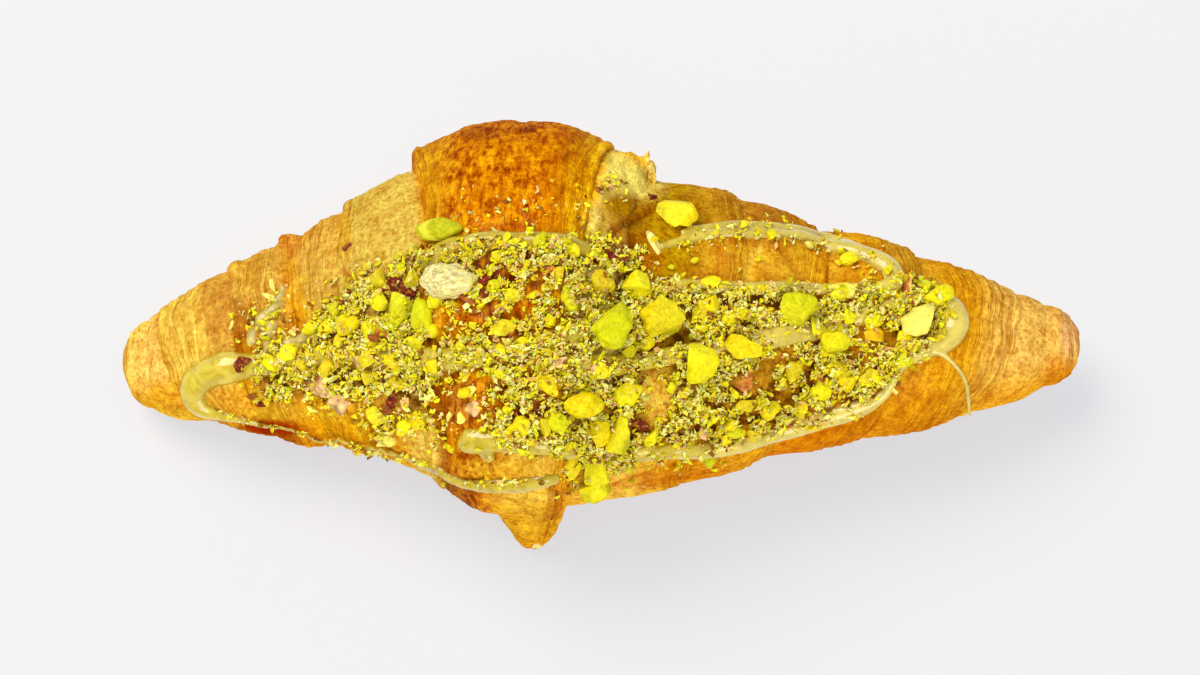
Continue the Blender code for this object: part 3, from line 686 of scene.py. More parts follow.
pointOfDough = {
    "lines": (  # flap, then fold: share of the way down, x, y, z, half the width and thickness
        ((0.0, -17.4, -29.0, 27.0, 9.6, 2.6), (0.35, -15.6, -35.2, 19.5, 7.2, 2.6),
         (0.7, -13.6, -37.8, 9.0, 4.6, 2.6), (1.0, -13.2, -39.4, 1.6, 2.6, 2.2)),
        ((0.0, -9.4, -31.4, 26.0, 2.6, 1.6), (0.35, -8.9, -36.2, 19.5, 2.0, 1.8),
         (0.7, -9.6, -38.6, 10.0, 1.3, 1.6), (1.0, -10.6, -39.4, 4.4, 0.9, 1.2)),
    ),
    "rings": 44, "segments": 44, "roundEnd": 2.2, "foremost": -41.2,
    "arcs": 26, "arcHeight": 0.10, "grain": 0.22, "grainSize": 2.4, "foldTone": 0.92,
}


def addPointOfDough(number):
    line = pointOfDough["lines"][number]
    stops = [[(row[0], row[column]) for row in line] for column in range(1, 6)]
    startMesh()
    segments, rings = pointOfDough["segments"], pointOfDough["rings"]
    bpy.ops.mesh.primitive_uv_sphere_add(segments=segments, ring_count=rings, radius=1)
    piece = bpy.context.object
    mesh = piece.data
    colours, inwards = [], []
    for vert in mesh.vertices:
        share = 0.5 + 0.5 * vert.co.z
        x, y, z, halfWidth, thick = (between(stop, share) for stop in stops)
        roundEnd = min(1.0, pointOfDough["roundEnd"] * math.hypot(vert.co.x, vert.co.y))
        ring = math.atan2(vert.co.y, vert.co.x)
        across = math.cos(ring)
        x += halfWidth * roundEnd * across
        y -= thick * roundEnd * math.sin(ring)
        place = Vector((x, y, z))
        place += dough["lump"] * noise.noise_vector(place / dough["lumpSize"])
        inward = halfWidth * (1 - abs(across)) + 3 * (1 - share)
        along = share * pointOfDough["arcs"] + 2.2 * across * across + noise.noise(place / 6)
        arcs = math.sin(along * 2.2)
        forwards = Vector((0, -1, 0)) * pointOfDough["arcHeight"] * arcs * (0.4 + share)
        place += forwards + pointOfDough["grain"] * noise.noise_vector(place / pointOfDough["grainSize"])
        place.y = max(place.y, pointOfDough["foremost"])
        place.y += dough["centring"]
        place.z = max(place.z, 0.0)
        vert.co = place * mm
        tone = toneNumbers["golden"].lerp(toneNumbers["orange"], smoothStep(share * 1.6 - 0.3))
        tone = tone.lerp(toneNumbers["brown"], 0.5 * smoothStep(2.6 * share - 1.8))
        colours.append((*(tone * (pointOfDough["foldTone"] if number else 1.0)), 1.0))
        inwards.append(inward)
    faceOutwards(mesh)
    count = len(mesh.vertices)
    keepCrust(mesh, colours, {"fromEdge": inwards, "layered": [0.3] * count, "torn": [0.0] * count,
                              "gloss": [0.6] * count, "layerLine": [0.5] * count})
    return piece


def crustPaint():
    paint = Paint("bakedCrust")
    at = paint.place()
    tone = paint.attribute("tone", output=0)
    inward, layered, torn = (paint.attribute(name) for name in ("fromEdge", "layered", "torn"))
    gloss, line, covered = (paint.attribute(name) for name in ("gloss", "layerLine", "covered"))
    sizes, toasted, lighter = crustLook["sizes"], crustLook["toasted"], crustLook["lighter"]
    wave = paint.grain(at, 10.0, 1.0) * 1.8 + paint.grain(at, 1.6, 2.0) * 0.08
    offset = paint.node("ShaderNodeCombineXYZ", sockets={0: inward * crustLook["streakPitch"] + wave})
    pulled = paint.scaled(at, crustLook["streakPull"])
    streakAt = paint.node("ShaderNodeVectorMath", {"operation": "ADD"}, {0: pulled, 1: offset})
    streak = paint.grain(streakAt, 1.0, 4.0, 0.65)
    fineStreak = paint.grain(paint.scaled(streakAt, crustLook["fineStreaks"]), 1.0, 3.0, 0.65)
    broad = paint.grain(at, sizes["broad"], 3.0)
    blotch = paint.grain(at, sizes["blotch"], 4.0, 0.6, 0.3)
    speck = paint.grain(at, sizes["speck"], 3.0, 0.6)
    dust = paint.grain(at, sizes["dust"], 2.0)
    roundAt = paint.node("ShaderNodeVectorMath", {"operation": "MULTIPLY"}, {0: at, 1: (1.0, 0.4, 0.4)})
    mottle = paint.grain(roundAt, sizes["mottle"], 3.0, 0.6, 0.4)
    baked, glazed = 1 - torn * 0.95, gloss.band(0.7, 1.0)
    tints = (
        (broad.band(0.46, 0.66) * baked * 0.35, toasted),
        (blotch.band(0.51, 0.60) * (0.35 + gloss * (0.45 - layered * 0.25)) * baked, toasted),
        ((1 - blotch.band(0.38, 0.47)) * (0.45 + gloss * 0.3) * baked, lighter),
        (streak.band(0.50, 0.58) * layered * 0.5, toasted),
        ((1 - streak.band(0.40, 0.48)) * layered * 0.6, lighter),
        (fineStreak.band(0.51, 0.60) * layered * 0.65, toasted),
        ((1 - fineStreak.band(0.38, 0.46)) * layered * 0.4, lighter),
        (mottle.band(0.52, 0.60) * glazed * (0.95 - layered * 0.8), crustLook["glazedDark"]),
        ((1 - mottle.band(0.38, 0.48)) * glazed * (0.75 - layered * 0.4), crustLook["glazedLight"]),
        ((1 - line.band(0.0, 0.22)) * layered * 0.35, crustLook["rim"]),
        (speck.band(0.52, 0.60) * baked * (0.56 - layered * 0.22), crustLook["speck"]),
        ((1 - speck.band(0.38, 0.47)) * 0.6, lighter),
        (torn * 0.6, crustLook["torn"]),
        # painted shade: the crust under the crumbs darkened, mottled, so the gaps between them look dark
        (covered * (0.5 + blotch.band(0.42, 0.56) * 0.42), crustLook["shadeBetweenCrumbs"]),
    )
    colour = tone
    for share, tint in tints:
        colour = paint.tinted(colour, share, tint)
    height = streak * layered * 0.8 + fineStreak * layered * 0.6 + blotch * 0.9 + speck * 0.45 + dust * 0.1
    height = height + torn * speck * 0.8 + mottle * glazed * (0.9 - layered * 0.6)
    roughness = crustLook["roughness"] - gloss * crustLook["glossed"] + dust * 0.1
    paint.set(Base_Color=colour, Roughness=roughness, Normal=paint.bump(height, crustLook["relief"]),
              Coat_Weight=gloss * crustLook["coat"], Coat_Roughness=crustLook["coatRoughness"],
              Specular_IOR_Level=0.0)
    return paint


crust = crustPaint()
turns = [addTurn(level) for level in range(last + 1)]
say(f"turns of dough, {sum(len(turn.data.vertices) for turn in turns)} points")
flaps = [addPointOfDough(number) for number in range(len(pointOfDough["lines"]))]
rolledDough = finishPiece(joined(turns + flaps), "rolledDough", crust, ["croissant"])
doughTree = treeOf(rolledDough)
say(f"rolled dough, {len(rolledDough.data.polygons)} faces")


# Piped cream: zigzag strokes, drips, thin strings and a smear, melted together

cream = {
    "strokes": (  # x, y and width in mm along each
        ((-35, 3.6, 4.4), (-30.7, 4.9, 5.2), (-25.8, 5.6, 5.0), (-20, 5.9, 4.4), (-12.8, 5.9, 4.2),
         (-5, 5.6, 4.2), (-1, 4.2, 3.2)),
        ((11.5, 8.4, 2.0), (16.6, 10.6, 2.2), (21.5, 12.0, 2.3), (28.4, 12.8, 2.3), (34.4, 13.6, 2.4),
         (39.7, 14.0, 2.6), (45, 13.2, 3.4), (49.8, 11.6, 4.6), (54.6, 9.4, 5.2), (57.2, 6.3, 5.2),
         (56.4, 3.6, 4.4), (53, 2.9, 3.6), (47.7, 2.7, 3.0), (41.8, 2.3, 3.0), (35.6, 1.6, 3.2),
         (26.3, 0.8, 3.0), (19.2, 0.9, 2.8), (13.9, 0.2, 3.0), (7.6, -3.4, 3.8), (0, -8.0, 4.2),
         (-7.6, -12.8, 4.6), (-15.2, -15.2, 4.8), (-22.7, -16.3, 5.0), (-28.1, -16.0, 5.0),
         (-34.6, -13.7, 4.8), (-42.5, -11.6, 4.6), (-49.5, -10.3, 4.6), (-56.6, -9.9, 4.6),
         (-62, -10.2, 4.8), (-68, -10.2, 5.4), (-73.2, -9.9, 6.2), (-78.2, -11.0, 6.6),
         (-80.4, -13.0, 6.4), (-79, -15.6, 5.0), (-75.6, -17.2, 3.2), (-70.9, -18.7, 1.7),
         (-64.2, -20.4, 1.0), (-57.4, -22.3, 0.9), (-50.4, -24.6, 0.9), (-43, -26.8, 1.1),
         (-36, -29.2, 1.6), (-31.1, -32.4, 2.2), (-26.3, -35.0, 2.9), (-20.2, -36.6, 3.5),
         (-12.9, -36.9, 3.5), (-7.9, -36.0, 2.2)),
        ((15.5, 12.0, 1.4), (21.5, 13.9, 1.8), (28.4, 14.9, 2.0), (34.4, 15.6, 2.0), (39.7, 15.9, 2.2),
         (45, 15.4, 2.4), (50, 13.6, 2.0)),
        ((-14, -17.4, 4.0), (2, -16.2, 4.2), (14, -13.2, 4.0), (22, -11.4, 3.6), (29.9, -8.8, 4.2),
         (35.2, -7.7, 4.6), (40.7, -6.2, 4.2), (48.5, -3.6, 4.0), (58.5, -0.2, 4.4), (64.6, 1.6, 5.2),
         (68.3, 0.2, 6.0), (69.2, -3.2, 6.2), (67, -6.4, 5.4), (63.8, -8.2, 4.4), (61, -9.9, 3.2),
         (58.3, -12.4, 2.2), (56.8, -15, 2.0), (54.4, -17.6, 2.8), (49.1, -19.7, 4.2), (45.3, -20.6, 4.4),
         (39.3, -22.3, 4.2), (34.2, -24.2, 3.8), (29.2, -26.2, 3.8), (24.1, -27.4, 4.0),
         (19.4, -28.4, 4.2), (11.5, -29.4, 4.2), (4.7, -30.2, 4.2), (-2, -30.8, 4.4), (-7.9, -31.0, 4.6),
         (-12.8, -31.4, 4.4), (-17.5, -30.6, 4.6), (-22.5, -30.0, 5.2), (-27, -29.4, 5.4)),
        ((-22.5, -30.6, 3.6), (-21.2, -32.8, 2.8), (-20.6, -33.8, 2.2)),
        ((62.8, -8.6, 2.0), (66.2, -9.3, 1.4), (68.8, -11, 1.1), (71.4, -13.9, 1.1), (72.9, -18.6, 1.0)),
        ((59.6, -9.2, 2.0), (57, -11, 1.4), (55, -13.4, 1.3), (54.0, -16, 1.2)),
    ),
    "smears": (
        ((-62.4, 5.0, 1.8), (-62.6, 3.6, 3.2), (-63.4, 1.4, 4.4), (-65, -0.4, 3.6), (-66.8, -2.2, 4.4),
         (-68.2, -4.6, 3.2), (-67.6, -7.2, 4.4)),
        ((-66.4, -1.8, 3.8), (-64.2, -3.4, 4.4), (-65.0, -6.0, 3.4), (-64, -8.4, 3.4)),
        ((-67, -9, 4.6), (-61, -7.2, 3.6), (-56, -5.4, 3.2), (-50, -3.6, 2.4)),
    ),
    "sunk": 0.2, "smearSunk": 0.38,                  # share of its width that a stroke lies in the dough
    "thread": 1.6, "threadLift": 0.25,               # strokes narrower than this bridge the dips
    "spacing": 1.0, "evenOver": 2.4, "swell": 0.16, "swellSize": 4.0,
    "voxel": 0.36, "soften": 3,
    "lumps": 0.12, "smearLumps": 0.35, "lumpSize": 2.6,
    "tones": ((198, 171, 28), (223, 198, 62)), "smearTones": ((206, 182, 86), (240, 222, 146)),
    "edgeTone": (158, 124, 8), "rightTone": (240, 222, 132), "middleTint": (0.82, 0.80, 0.62),
    "gloss": 0.9, "smearGloss": 0.25, "relief": 0.4,
}


def topOf(tree, x, y):
    point, normal, _, _ = tree.ray_cast(Vector((x, y, 200)), Vector((0, 0, -1)))
    return point, normal


def dropOn(tree, x, y):  # a height; over the edge, that of the nearest place further in
    point = None
    while point is None:
        point, _ = topOf(tree, x, y)
        y += 0.4
    return point.z


def smoothRoute(stops, spacing):
    route = []
    ends = [stops[0], *stops, stops[-1]]
    for a, b, c, d in zip(ends, ends[1:], ends[2:], ends[3:]):
        a, b, c, d = (Vector(stop) for stop in (a, b, c, d))
        steps = max(1, round((c - b).length / spacing))
        for step in range(steps):
            t = step / steps
            bend = (2 * a - 5 * b + 4 * c - d) * t * t + (3 * b - 3 * c + d - a) * t**3
            route.append(b + 0.5 * ((c - a) * t + bend))
    return route + [Vector(stops[-1])]


def addStroke(stops, sunk):
    route = smoothRoute(stops, cream["spacing"])
    heights = [dropOn(doughTree, x, y + dough["centring"]) for x, y, _ in route]
    startMesh()
    bpy.ops.curve.primitive_nurbs_path_add(radius=mm)
    tube = bpy.context.object
    curve = tube.data
    curve.splines.clear()
    curve.bevel_depth, curve.bevel_resolution, curve.use_fill_caps = mm, 4, True
    spline = curve.splines.new("POLY")
    spline.points.add(len(route) - 1)
    reach = round(cream["evenOver"] / cream["spacing"])
    for number, (x, y, width) in enumerate(route):
        fromEnd = min(number, len(route) - 1 - number) * cream["spacing"]
        width *= math.sqrt(1 - (1 - min(1.0, (fromEnd + 0.25) / (0.5 * width))) ** 2)  # round ends
        near = heights[max(0, number - reach):number + reach + 1]
        height = sum(near) / len(near) - sunk * width
        if width < cream["thread"]:
            height = max(height, heights[number]) + cream["threadLift"]
        spline.points[number].co = (x * mm, (y + dough["centring"]) * mm, height * mm, 1.0)
        swell = 1 + cream["swell"] * noise.noise(Vector((x, y, height)) / cream["swellSize"])
        spline.points[number].radius = width / 2 * swell
    startMesh()
    tube.select_set(True)
    bpy.context.view_layer.objects.active = tube
    bpy.ops.object.convert(target="MESH")
    return bpy.context.object


def creamPaint(name, tones, gloss):
    paint = Paint(name)
    at = paint.place()
    swirl = paint.grain(at, 3.0, 3.0, 0.5, 0.6)
    fine = paint.grain(at, 0.8, 2.0)
    low, high = (linear(tone) for tone in tones)
    colour = paint.mix(swirl.band(0.38, 0.62), low, high)
    thin = 1 - paint.attribute("proud").band(0.0, 0.8)
    colour = paint.mix(thin * 0.7, colour, linear(cream["edgeTone"]))
    along = paint.node("ShaderNodeSeparateXYZ", sockets={0: at})
    middle = along.band(-64.0, -40.0) * (1 - along.band(0.0, 16.0))
    colour = paint.tinted(colour, middle * 0.6, cream["middleTint"])
    colour = paint.mix(along.band(8.0, 36.0) * 0.32, colour, linear(cream["rightTone"]))
    normal = paint.bump(swirl * 0.6 + fine * 0.2, cream["relief"])
    paint.set(Base_Color=colour, Roughness=0.24 + fine * 0.14, Normal=normal,
              Coat_Weight=gloss, Coat_Roughness=0.08, Specular_IOR_Level=0.3,
              Subsurface_Weight=0.12, Subsurface_Radius=(0.0024, 0.0016, 0.0004))
    return paint


def meltTogether(strokes, name, lumps, paint):
    piece = joined(strokes)
    remesh = piece.modifiers.new("melt", "REMESH")
    remesh.mode, remesh.voxel_size = "VOXEL", cream["voxel"] * mm
    soften = piece.modifiers.new("soften", "SMOOTH")
    soften.iterations = cream["soften"]
    for modifier in ("melt", "soften"):
        bpy.ops.object.modifier_apply(modifier=modifier)
    faceOutwards(piece.data)
    for vert in piece.data.vertices:
        vert.co += lumps * mm * noise.noise_vector(vert.co / mm / cream["lumpSize"])
    keep(piece.data, "proud", [doughTree.find_nearest(vert.co / mm)[3] for vert in piece.data.vertices])
    return finishPiece(piece, name, paint, ["croissant"])


strokes = [addStroke(stops, cream["sunk"]) for stops in cream["strokes"]]
paint = creamPaint("pistachioCream", cream["tones"], cream["gloss"])
pipedCream = meltTogether(strokes, "pipedCream", cream["lumps"], paint)
smears = [addStroke(stops, cream["smearSunk"]) for stops in cream["smears"]]
paint = creamPaint("thinCream", cream["smearTones"], cream["smearGloss"])
meltTogether(smears, "creamSmear", cream["smearLumps"], paint)
toppedTree = treeOf(rolledDough, pipedCream)
say(f"piped cream, {len(pipedCream.data.polygons)} faces")


# Pistachios: whole and broken kernels, chopped pieces, crumbs and skins

nuts = {
    "tones": {
        "lime": (216, 214, 4), "lemon": (246, 230, 10), "yellow": (246, 218, 2), "leaf": (188, 186, 8),
        "milk": (252, 240, 112), "grey": (252, 240, 172), "honey": (250, 188, 4), "gold": (232, 204, 30),
    },
    "cutTone": (252, 240, 44), "rimTone": (232, 228, 60),
    # the second is painted shade for the lower side of a piece
    "veinTone": (158, 124, 56), "paintedShadeTone": (160, 146, 4),
    "styles": {  # swell, grit and number of broken faces
        "smooth": (0.10, 0.06, 3), "boat": (0.03, 0.02, 0), "whole": (0.08, 0.10, 0),
        "chunk": (0.12, 0.07, 7), "crumbly": (0.14, 0.28, 3), "flat": (0.10, 0.06, 4),
    },
    "gritSize": 0.75, "veinSize": (1.8, 0.45, 0.45), "fineVeinSize": 0.3, "seed": 8,
    "swollen": 1.12, "sunk": 0.25,  # a kernel's size against its solid's, and how much lower it lies in mm
    "kernels": {
        1: ("leaf", "boat"), 2: ("grey", "whole"), 3: ("yellow", "chunk"), 4: ("lime", "smooth"),
        5: ("lemon", "chunk"), 6: ("yellow", "crumbly"), 7: ("lemon", "smooth"), 8: ("yellow", "crumbly"),
        9: ("lime", "smooth"), 10: ("lemon", "crumbly"), 11: ("milk", "flat"), 12: ("lime", "chunk"),
        13: ("yellow", "crumbly"), 14: ("lemon", "chunk"), 15: ("lemon", "chunk"),
    },
    "duller": (0.84, 0.84, 0.40), "browner": (0.76, 0.66, 0.26), "brighter": (252, 244, 40),
    "finishes": {"pistachioNut": (0.22, 0.08), "pistachioCrumb": (0.04, 0.25)},  # relief in mm, and glow
}


def nutPaint(name, depth, glow):
    paint = Paint(name)
    at = paint.place()
    tone = paint.attribute("tone", output=0)
    broad, grain = paint.grain(at, 2.4, 3.0), paint.grain(at, 0.7, 3.0, 0.6)
    fine = paint.grain(at, 0.25, 2.0)
    colour = paint.tinted(tone, broad.band(0.44, 0.66) * 0.35, nuts["duller"])
    colour = paint.tinted(colour, grain.band(0.54, 0.68) * 0.3, nuts["browner"])
    colour = paint.mix((1 - grain.band(0.34, 0.46)) * 0.25, colour, linear(nuts["brighter"]))
    height = grain * 0.6 + fine * 0.4 + broad * 0.8
    paint.set(Base_Color=colour, Roughness=0.5 + fine * 0.2, Normal=paint.bump(height, depth),
              Subsurface_Weight=glow, Subsurface_Radius=(0.0016, 0.0014, 0.0002), Specular_IOR_Level=0.15)
    return paint


def shapeNut(points, sizes, draw, tone, style):  # swells, broken faces, grit; points are about the middle
    swell, grit, cuts = nuts["styles"][style]
    parts = ("cutTone", "rimTone", "veinTone", "paintedShadeTone")
    cut, rim, vein, paintedShade = (Vector(linear(nuts[name])) for name in parts)
    skin, green = Vector(linear(nuts["tones"][tone])), Vector(linear(nuts["tones"]["leaf"]))
    offset = Vector((draw.uniform(-9, 9), draw.uniform(-9, 9), draw.uniform(-9, 9)))
    planes = []
    for _ in range(cuts):
        away = Vector((draw.gauss(0, 1), draw.gauss(0, 1), draw.gauss(0, 0.8))).normalized()
        reach = 0.5 * Vector((away.x * sizes[0], away.y * sizes[1], away.z * sizes[2])).length
        planes.append((away, reach * draw.uniform(0.38, 0.8)))
    shaped, colours = [], []
    for point in points:
        flatness = abs(point.z) / sizes[2]
        point = point * (1 + 2 * swell * noise.noise(point / 2.2 + offset))
        broken = 0
        for away, reach in planes:
            over = point.dot(away) - reach
            if over > 0:
                point = point - away * over * 0.96
                broken = 1
        stirred = point / nuts["gritSize"] + offset + 0.5 * noise.noise_vector(point / 0.9 + offset)
        gaps = noise.voronoi(stirred)[0]
        shadedCrack = smoothStep(1 - 3.5 * (gaps[1] - gaps[0]))
        bump = 0.42 - gaps[0] + 0.5 * noise.noise(point / 1.5 + offset)
        point = point + point.normalized() * grit * (1.0 if broken else 0.6) * bump
        colour = skin.lerp(cut, 0.4 * broken + 0.25 * smoothStep(noise.noise(point / 1.3 + offset) * 2))
        # painted shade: the lower side of a piece turns a darker green
        if style in ("chunk", "smooth", "crumbly"):
            low = 0.3 - 1.6 * point.z / sizes[2] + noise.noise(point / 2.4 - offset)
            colour = colour.lerp(paintedShade, 0.7 * smoothStep(low))
        # painted shade in the cracks between grains, with random lighter and darker spots
        colour = colour * (1 - 0.6 * grit * shadedCrack) * (1 + 0.25 * noise.noise(point / 0.6 - offset))
        if style == "boat":
            colour = colour.lerp(rim, smoothStep(1.5 - 9 * flatness))
        if style == "whole":
            drawnOut = Vector(part / size for part, size in zip(point, nuts["veinSize"]))
            veins = noise.noise(drawnOut + offset) + 0.9 * noise.noise(point / nuts["fineVeinSize"])
            leftSide = smoothStep(1.5 - 1.6 * point.length / sizes[0] - point.x / sizes[0])
            colour = colour.lerp(vein, 0.62 * smoothStep(1.7 * veins + 0.35) * leftSide)
            colour = colour.lerp(green, 0.5 * smoothStep(2.4 * point.x / sizes[0] - 0.4))
        shaped.append(point)
        colours.append((*colour, 1.0))
    return shaped, colours


def dressKernel(number, paint, draw):
    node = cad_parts[f"pistachio_{number}"]
    piece = bpy.data.objects.new("kernel", node.data.copy())
    bpy.context.scene.collection.objects.link(piece)
    startMesh()
    piece.select_set(True)
    bpy.context.view_layer.objects.active = piece
    bpy.ops.object.mode_set(mode="EDIT")
    bpy.ops.mesh.select_all(action="SELECT")
    bpy.ops.mesh.remove_doubles(threshold=1e-6)
    bpy.ops.object.mode_set(mode="OBJECT")
    finer = piece.modifiers.new("finer", "SUBSURF")
    finer.levels = finer.render_levels = 3
    bpy.ops.object.modifier_apply(modifier="finer")
    low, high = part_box(node.name)
    middle, sizes = (low + high) / 2 / mm, (high - low) / mm
    points = [(vert.co / mm - middle) * nuts["swollen"] for vert in piece.data.vertices]
    shaped, colours = shapeNut(points, sizes, draw, *nuts["kernels"][number])
    for vert, point in zip(piece.data.vertices, shaped):
        vert.co = (point + middle - Vector((0, 0, nuts["sunk"]))) * mm
    keep(piece.data, "tone", colours, "FLOAT_COLOR")
    return finishPiece(piece, f"kernel{number}", paint, [node.name])


def chunkShapes(count, corners, draw):  # angular bits, as broken nut is
    shapes = []
    for _ in range(count):
        bm = bmesh.new()
        for _ in range(corners):
            away = Vector((draw.gauss(0, 1), draw.gauss(0, 1), draw.gauss(0, 1))).normalized()
            bm.verts.new(away * draw.uniform(0.36, 0.56))
        bmesh.ops.convex_hull(bm, input=bm.verts[:])
        for vert in [vert for vert in bm.verts if not vert.link_faces]:
            bm.verts.remove(vert)
        bmesh.ops.triangulate(bm, faces=bm.faces[:])
        bmesh.ops.recalc_face_normals(bm, faces=bm.faces[:])
        bm.verts.index_update()
        places = np.array([vert.co[:] for vert in bm.verts])
        sides = np.array([[vert.index for vert in face.verts] for face in bm.faces])
        shapes.append((places, sides))
        bm.free()
    return shapes


def bitsPiece(name, bits, shapes, paint):  # bits are (place, 3 x 3 turn and size, tone, shape number)
    points, faces, colours, first = [], [], [], 0
    paintedShade = np.array(linear(crumbLook["paintedShade"]))
    for place, turned, tone, number in bits:
        corners, sides = shapes[number]
        corners = corners @ turned.T
        # painted shade: the lower part of each bit turns browner
        low = np.clip(0.5 - corners[:, 2] / np.ptp(corners[:, 2]), 0, 1)[:, None] * crumbLook["paintedShadeShare"]
        points.append(corners + place)
        faces.append(sides + first)
        colours.append(np.column_stack([tone + (paintedShade - tone) * low, np.ones(len(corners))]))
        first += len(corners)
    points, faces = np.concatenate(points) * mm, np.concatenate(faces)
    mesh = bpy.data.meshes.new(name)
    mesh.from_pydata(points.tolist(), [], faces.tolist())
    keep(mesh, "tone", np.concatenate(colours), "FLOAT_COLOR")
    piece = bpy.data.objects.new(name, mesh)
    bpy.context.scene.collection.objects.link(piece)
    say(f"{name}: {len(bits)} bits, {len(faces)} faces")
    return finishPiece(piece, name, paint, smooth=0)


def tumbled(draw, sizes):
    turn = Matrix.Identity(3)
    for axis in "ZXY":
        turn = turn @ Matrix.Rotation(draw.uniform(0, 6.3), 3, axis)
    return np.array(turn) * np.array(sizes)


def turnedTo(normal, heading):  # columns: along the heading, across it, outwards
    along = Vector((math.cos(heading), math.sin(heading), 0))
    side = normal.cross(along).normalized()
    return Matrix((side.cross(normal), side, normal)).transposed()


# Chopped pieces at the same spots as in the solid

morsels = {
    "count": 80, "sizes": (4.8, 2.3), "shape": (1.2, 0.85, 0.7),
    "height": 0.18, "spacing": 0.5, "tries": 60,
    "bareSize": 0.4,                                       # share of their size where few crumbs lie
    "tones": (("lemon", "yellow", "lime", "gold", "milk"), (4, 4, 2, 4, 1.5)),  # and how often each
    "styles": ("crumbly", "chunk"), "seed": 11, "lookSeed": 5,
    "area": (  # x, and the lowest and highest y there
        (-69, -16, -8), (-59, -19, -3), (-49, -23, 2), (-39, -27, 5), (-19, -34, 6),
        (0, -33, 9), (12, -30, 16), (35, -25, 14), (55, -18, 11), (69, -7, 3),
    ),
    "kernels": (  # x, y and length of the kernels, which the pieces keep clear of
        (-30.2, 9.6, 9.9), (-28.0, -1.6, 11.4), (14.0, 15.8, 9.6), (0.6, -10.4, 9.8), (7.2, -0.4, 7.8),
        (11.6, -7.4, 9.2), (18.4, -14.4, 8.8), (27.4, -12.2, 9.0), (36.9, -2.8, 8.4), (45.2, -8.6, 7.6),
        (61.8, -3.4, 8.2), (-38.6, -4.0, 6.4), (-3.8, -24.0, 8.0), (2.6, -28.6, 10.0), (-1.0, -34.6, 7.4),
    ),
}


def morselSpots(draw):
    taken = [(x, y, length / 2) for x, y, length in morsels["kernels"]]
    front, back = [[(row[0], row[column]) for row in morsels["area"]] for column in (1, 2)]
    lowest, highest = min(row[1] for row in front), max(row[1] for row in back)
    spots, tries = [], 0
    largest, smallest = morsels["sizes"]
    while len(spots) < morsels["count"] and tries < morsels["tries"] * morsels["count"]:
        tries += 1
        size = largest + (smallest - largest) * len(spots) / morsels["count"]
        x = draw.uniform(morsels["area"][0][0], morsels["area"][-1][0])
        y = draw.uniform(lowest, highest)
        if not between(front, x) < y < between(back, x):
            continue
        if all(math.hypot(x - u, y - v) > size / 2 + reach + morsels["spacing"] for u, v, reach in taken):
            taken.append((x, y, size / 2))
            spots.append((x, y, size))
    return spots


def nutBit(place, normal, heading, sizes, draw, tone, style):
    startMesh()
    bpy.ops.mesh.primitive_ico_sphere_add(subdivisions=4, radius=0.5)
    piece = bpy.context.object
    points = [Vector(a * b for a, b in zip(vert.co, sizes)) for vert in piece.data.vertices]
    shaped, colours = shapeNut(points, sizes, draw, tone, style)
    turned = turnedTo(normal, heading)
    for vert, point in zip(piece.data.vertices, shaped):
        vert.co = (turned @ point + place) * mm
    keep(piece.data, "tone", colours, "FLOAT_COLOR")
    return piece


def addMorsels(paint):
    draw, look = random.Random(morsels["seed"]), random.Random(morsels["lookSeed"])
    pieces = []
    for x, y, size in morselSpots(draw):
        place, normal = topOf(toppedTree, x, y + dough["centring"])
        place = place + normal * size * morsels["height"]
        heading = draw.uniform(0, math.pi)
        for _ in range(3):  # the solids draw three more numbers for each piece
            draw.uniform(-9, 9)
        tone = look.choices(*morsels["tones"])[0]
        style = look.choices(morsels["styles"], (1, 1))[0]
        share = crumbShare(*(np.array(part) for part in pictureOf([place])))[0]
        size *= morsels["bareSize"] + (1 - morsels["bareSize"]) * min(1.0, 2 * share)
        sizes = [size * part for part in morsels["shape"]]
        pieces.append(nutBit(place, normal, heading, sizes, look, tone, style))
    return finishPiece(joined(pieces), "choppedPistachio", paint, ["croissant"], smooth=40)


# Smaller pieces of nut that stand out: point of the picture, length, width, heading, tone and style

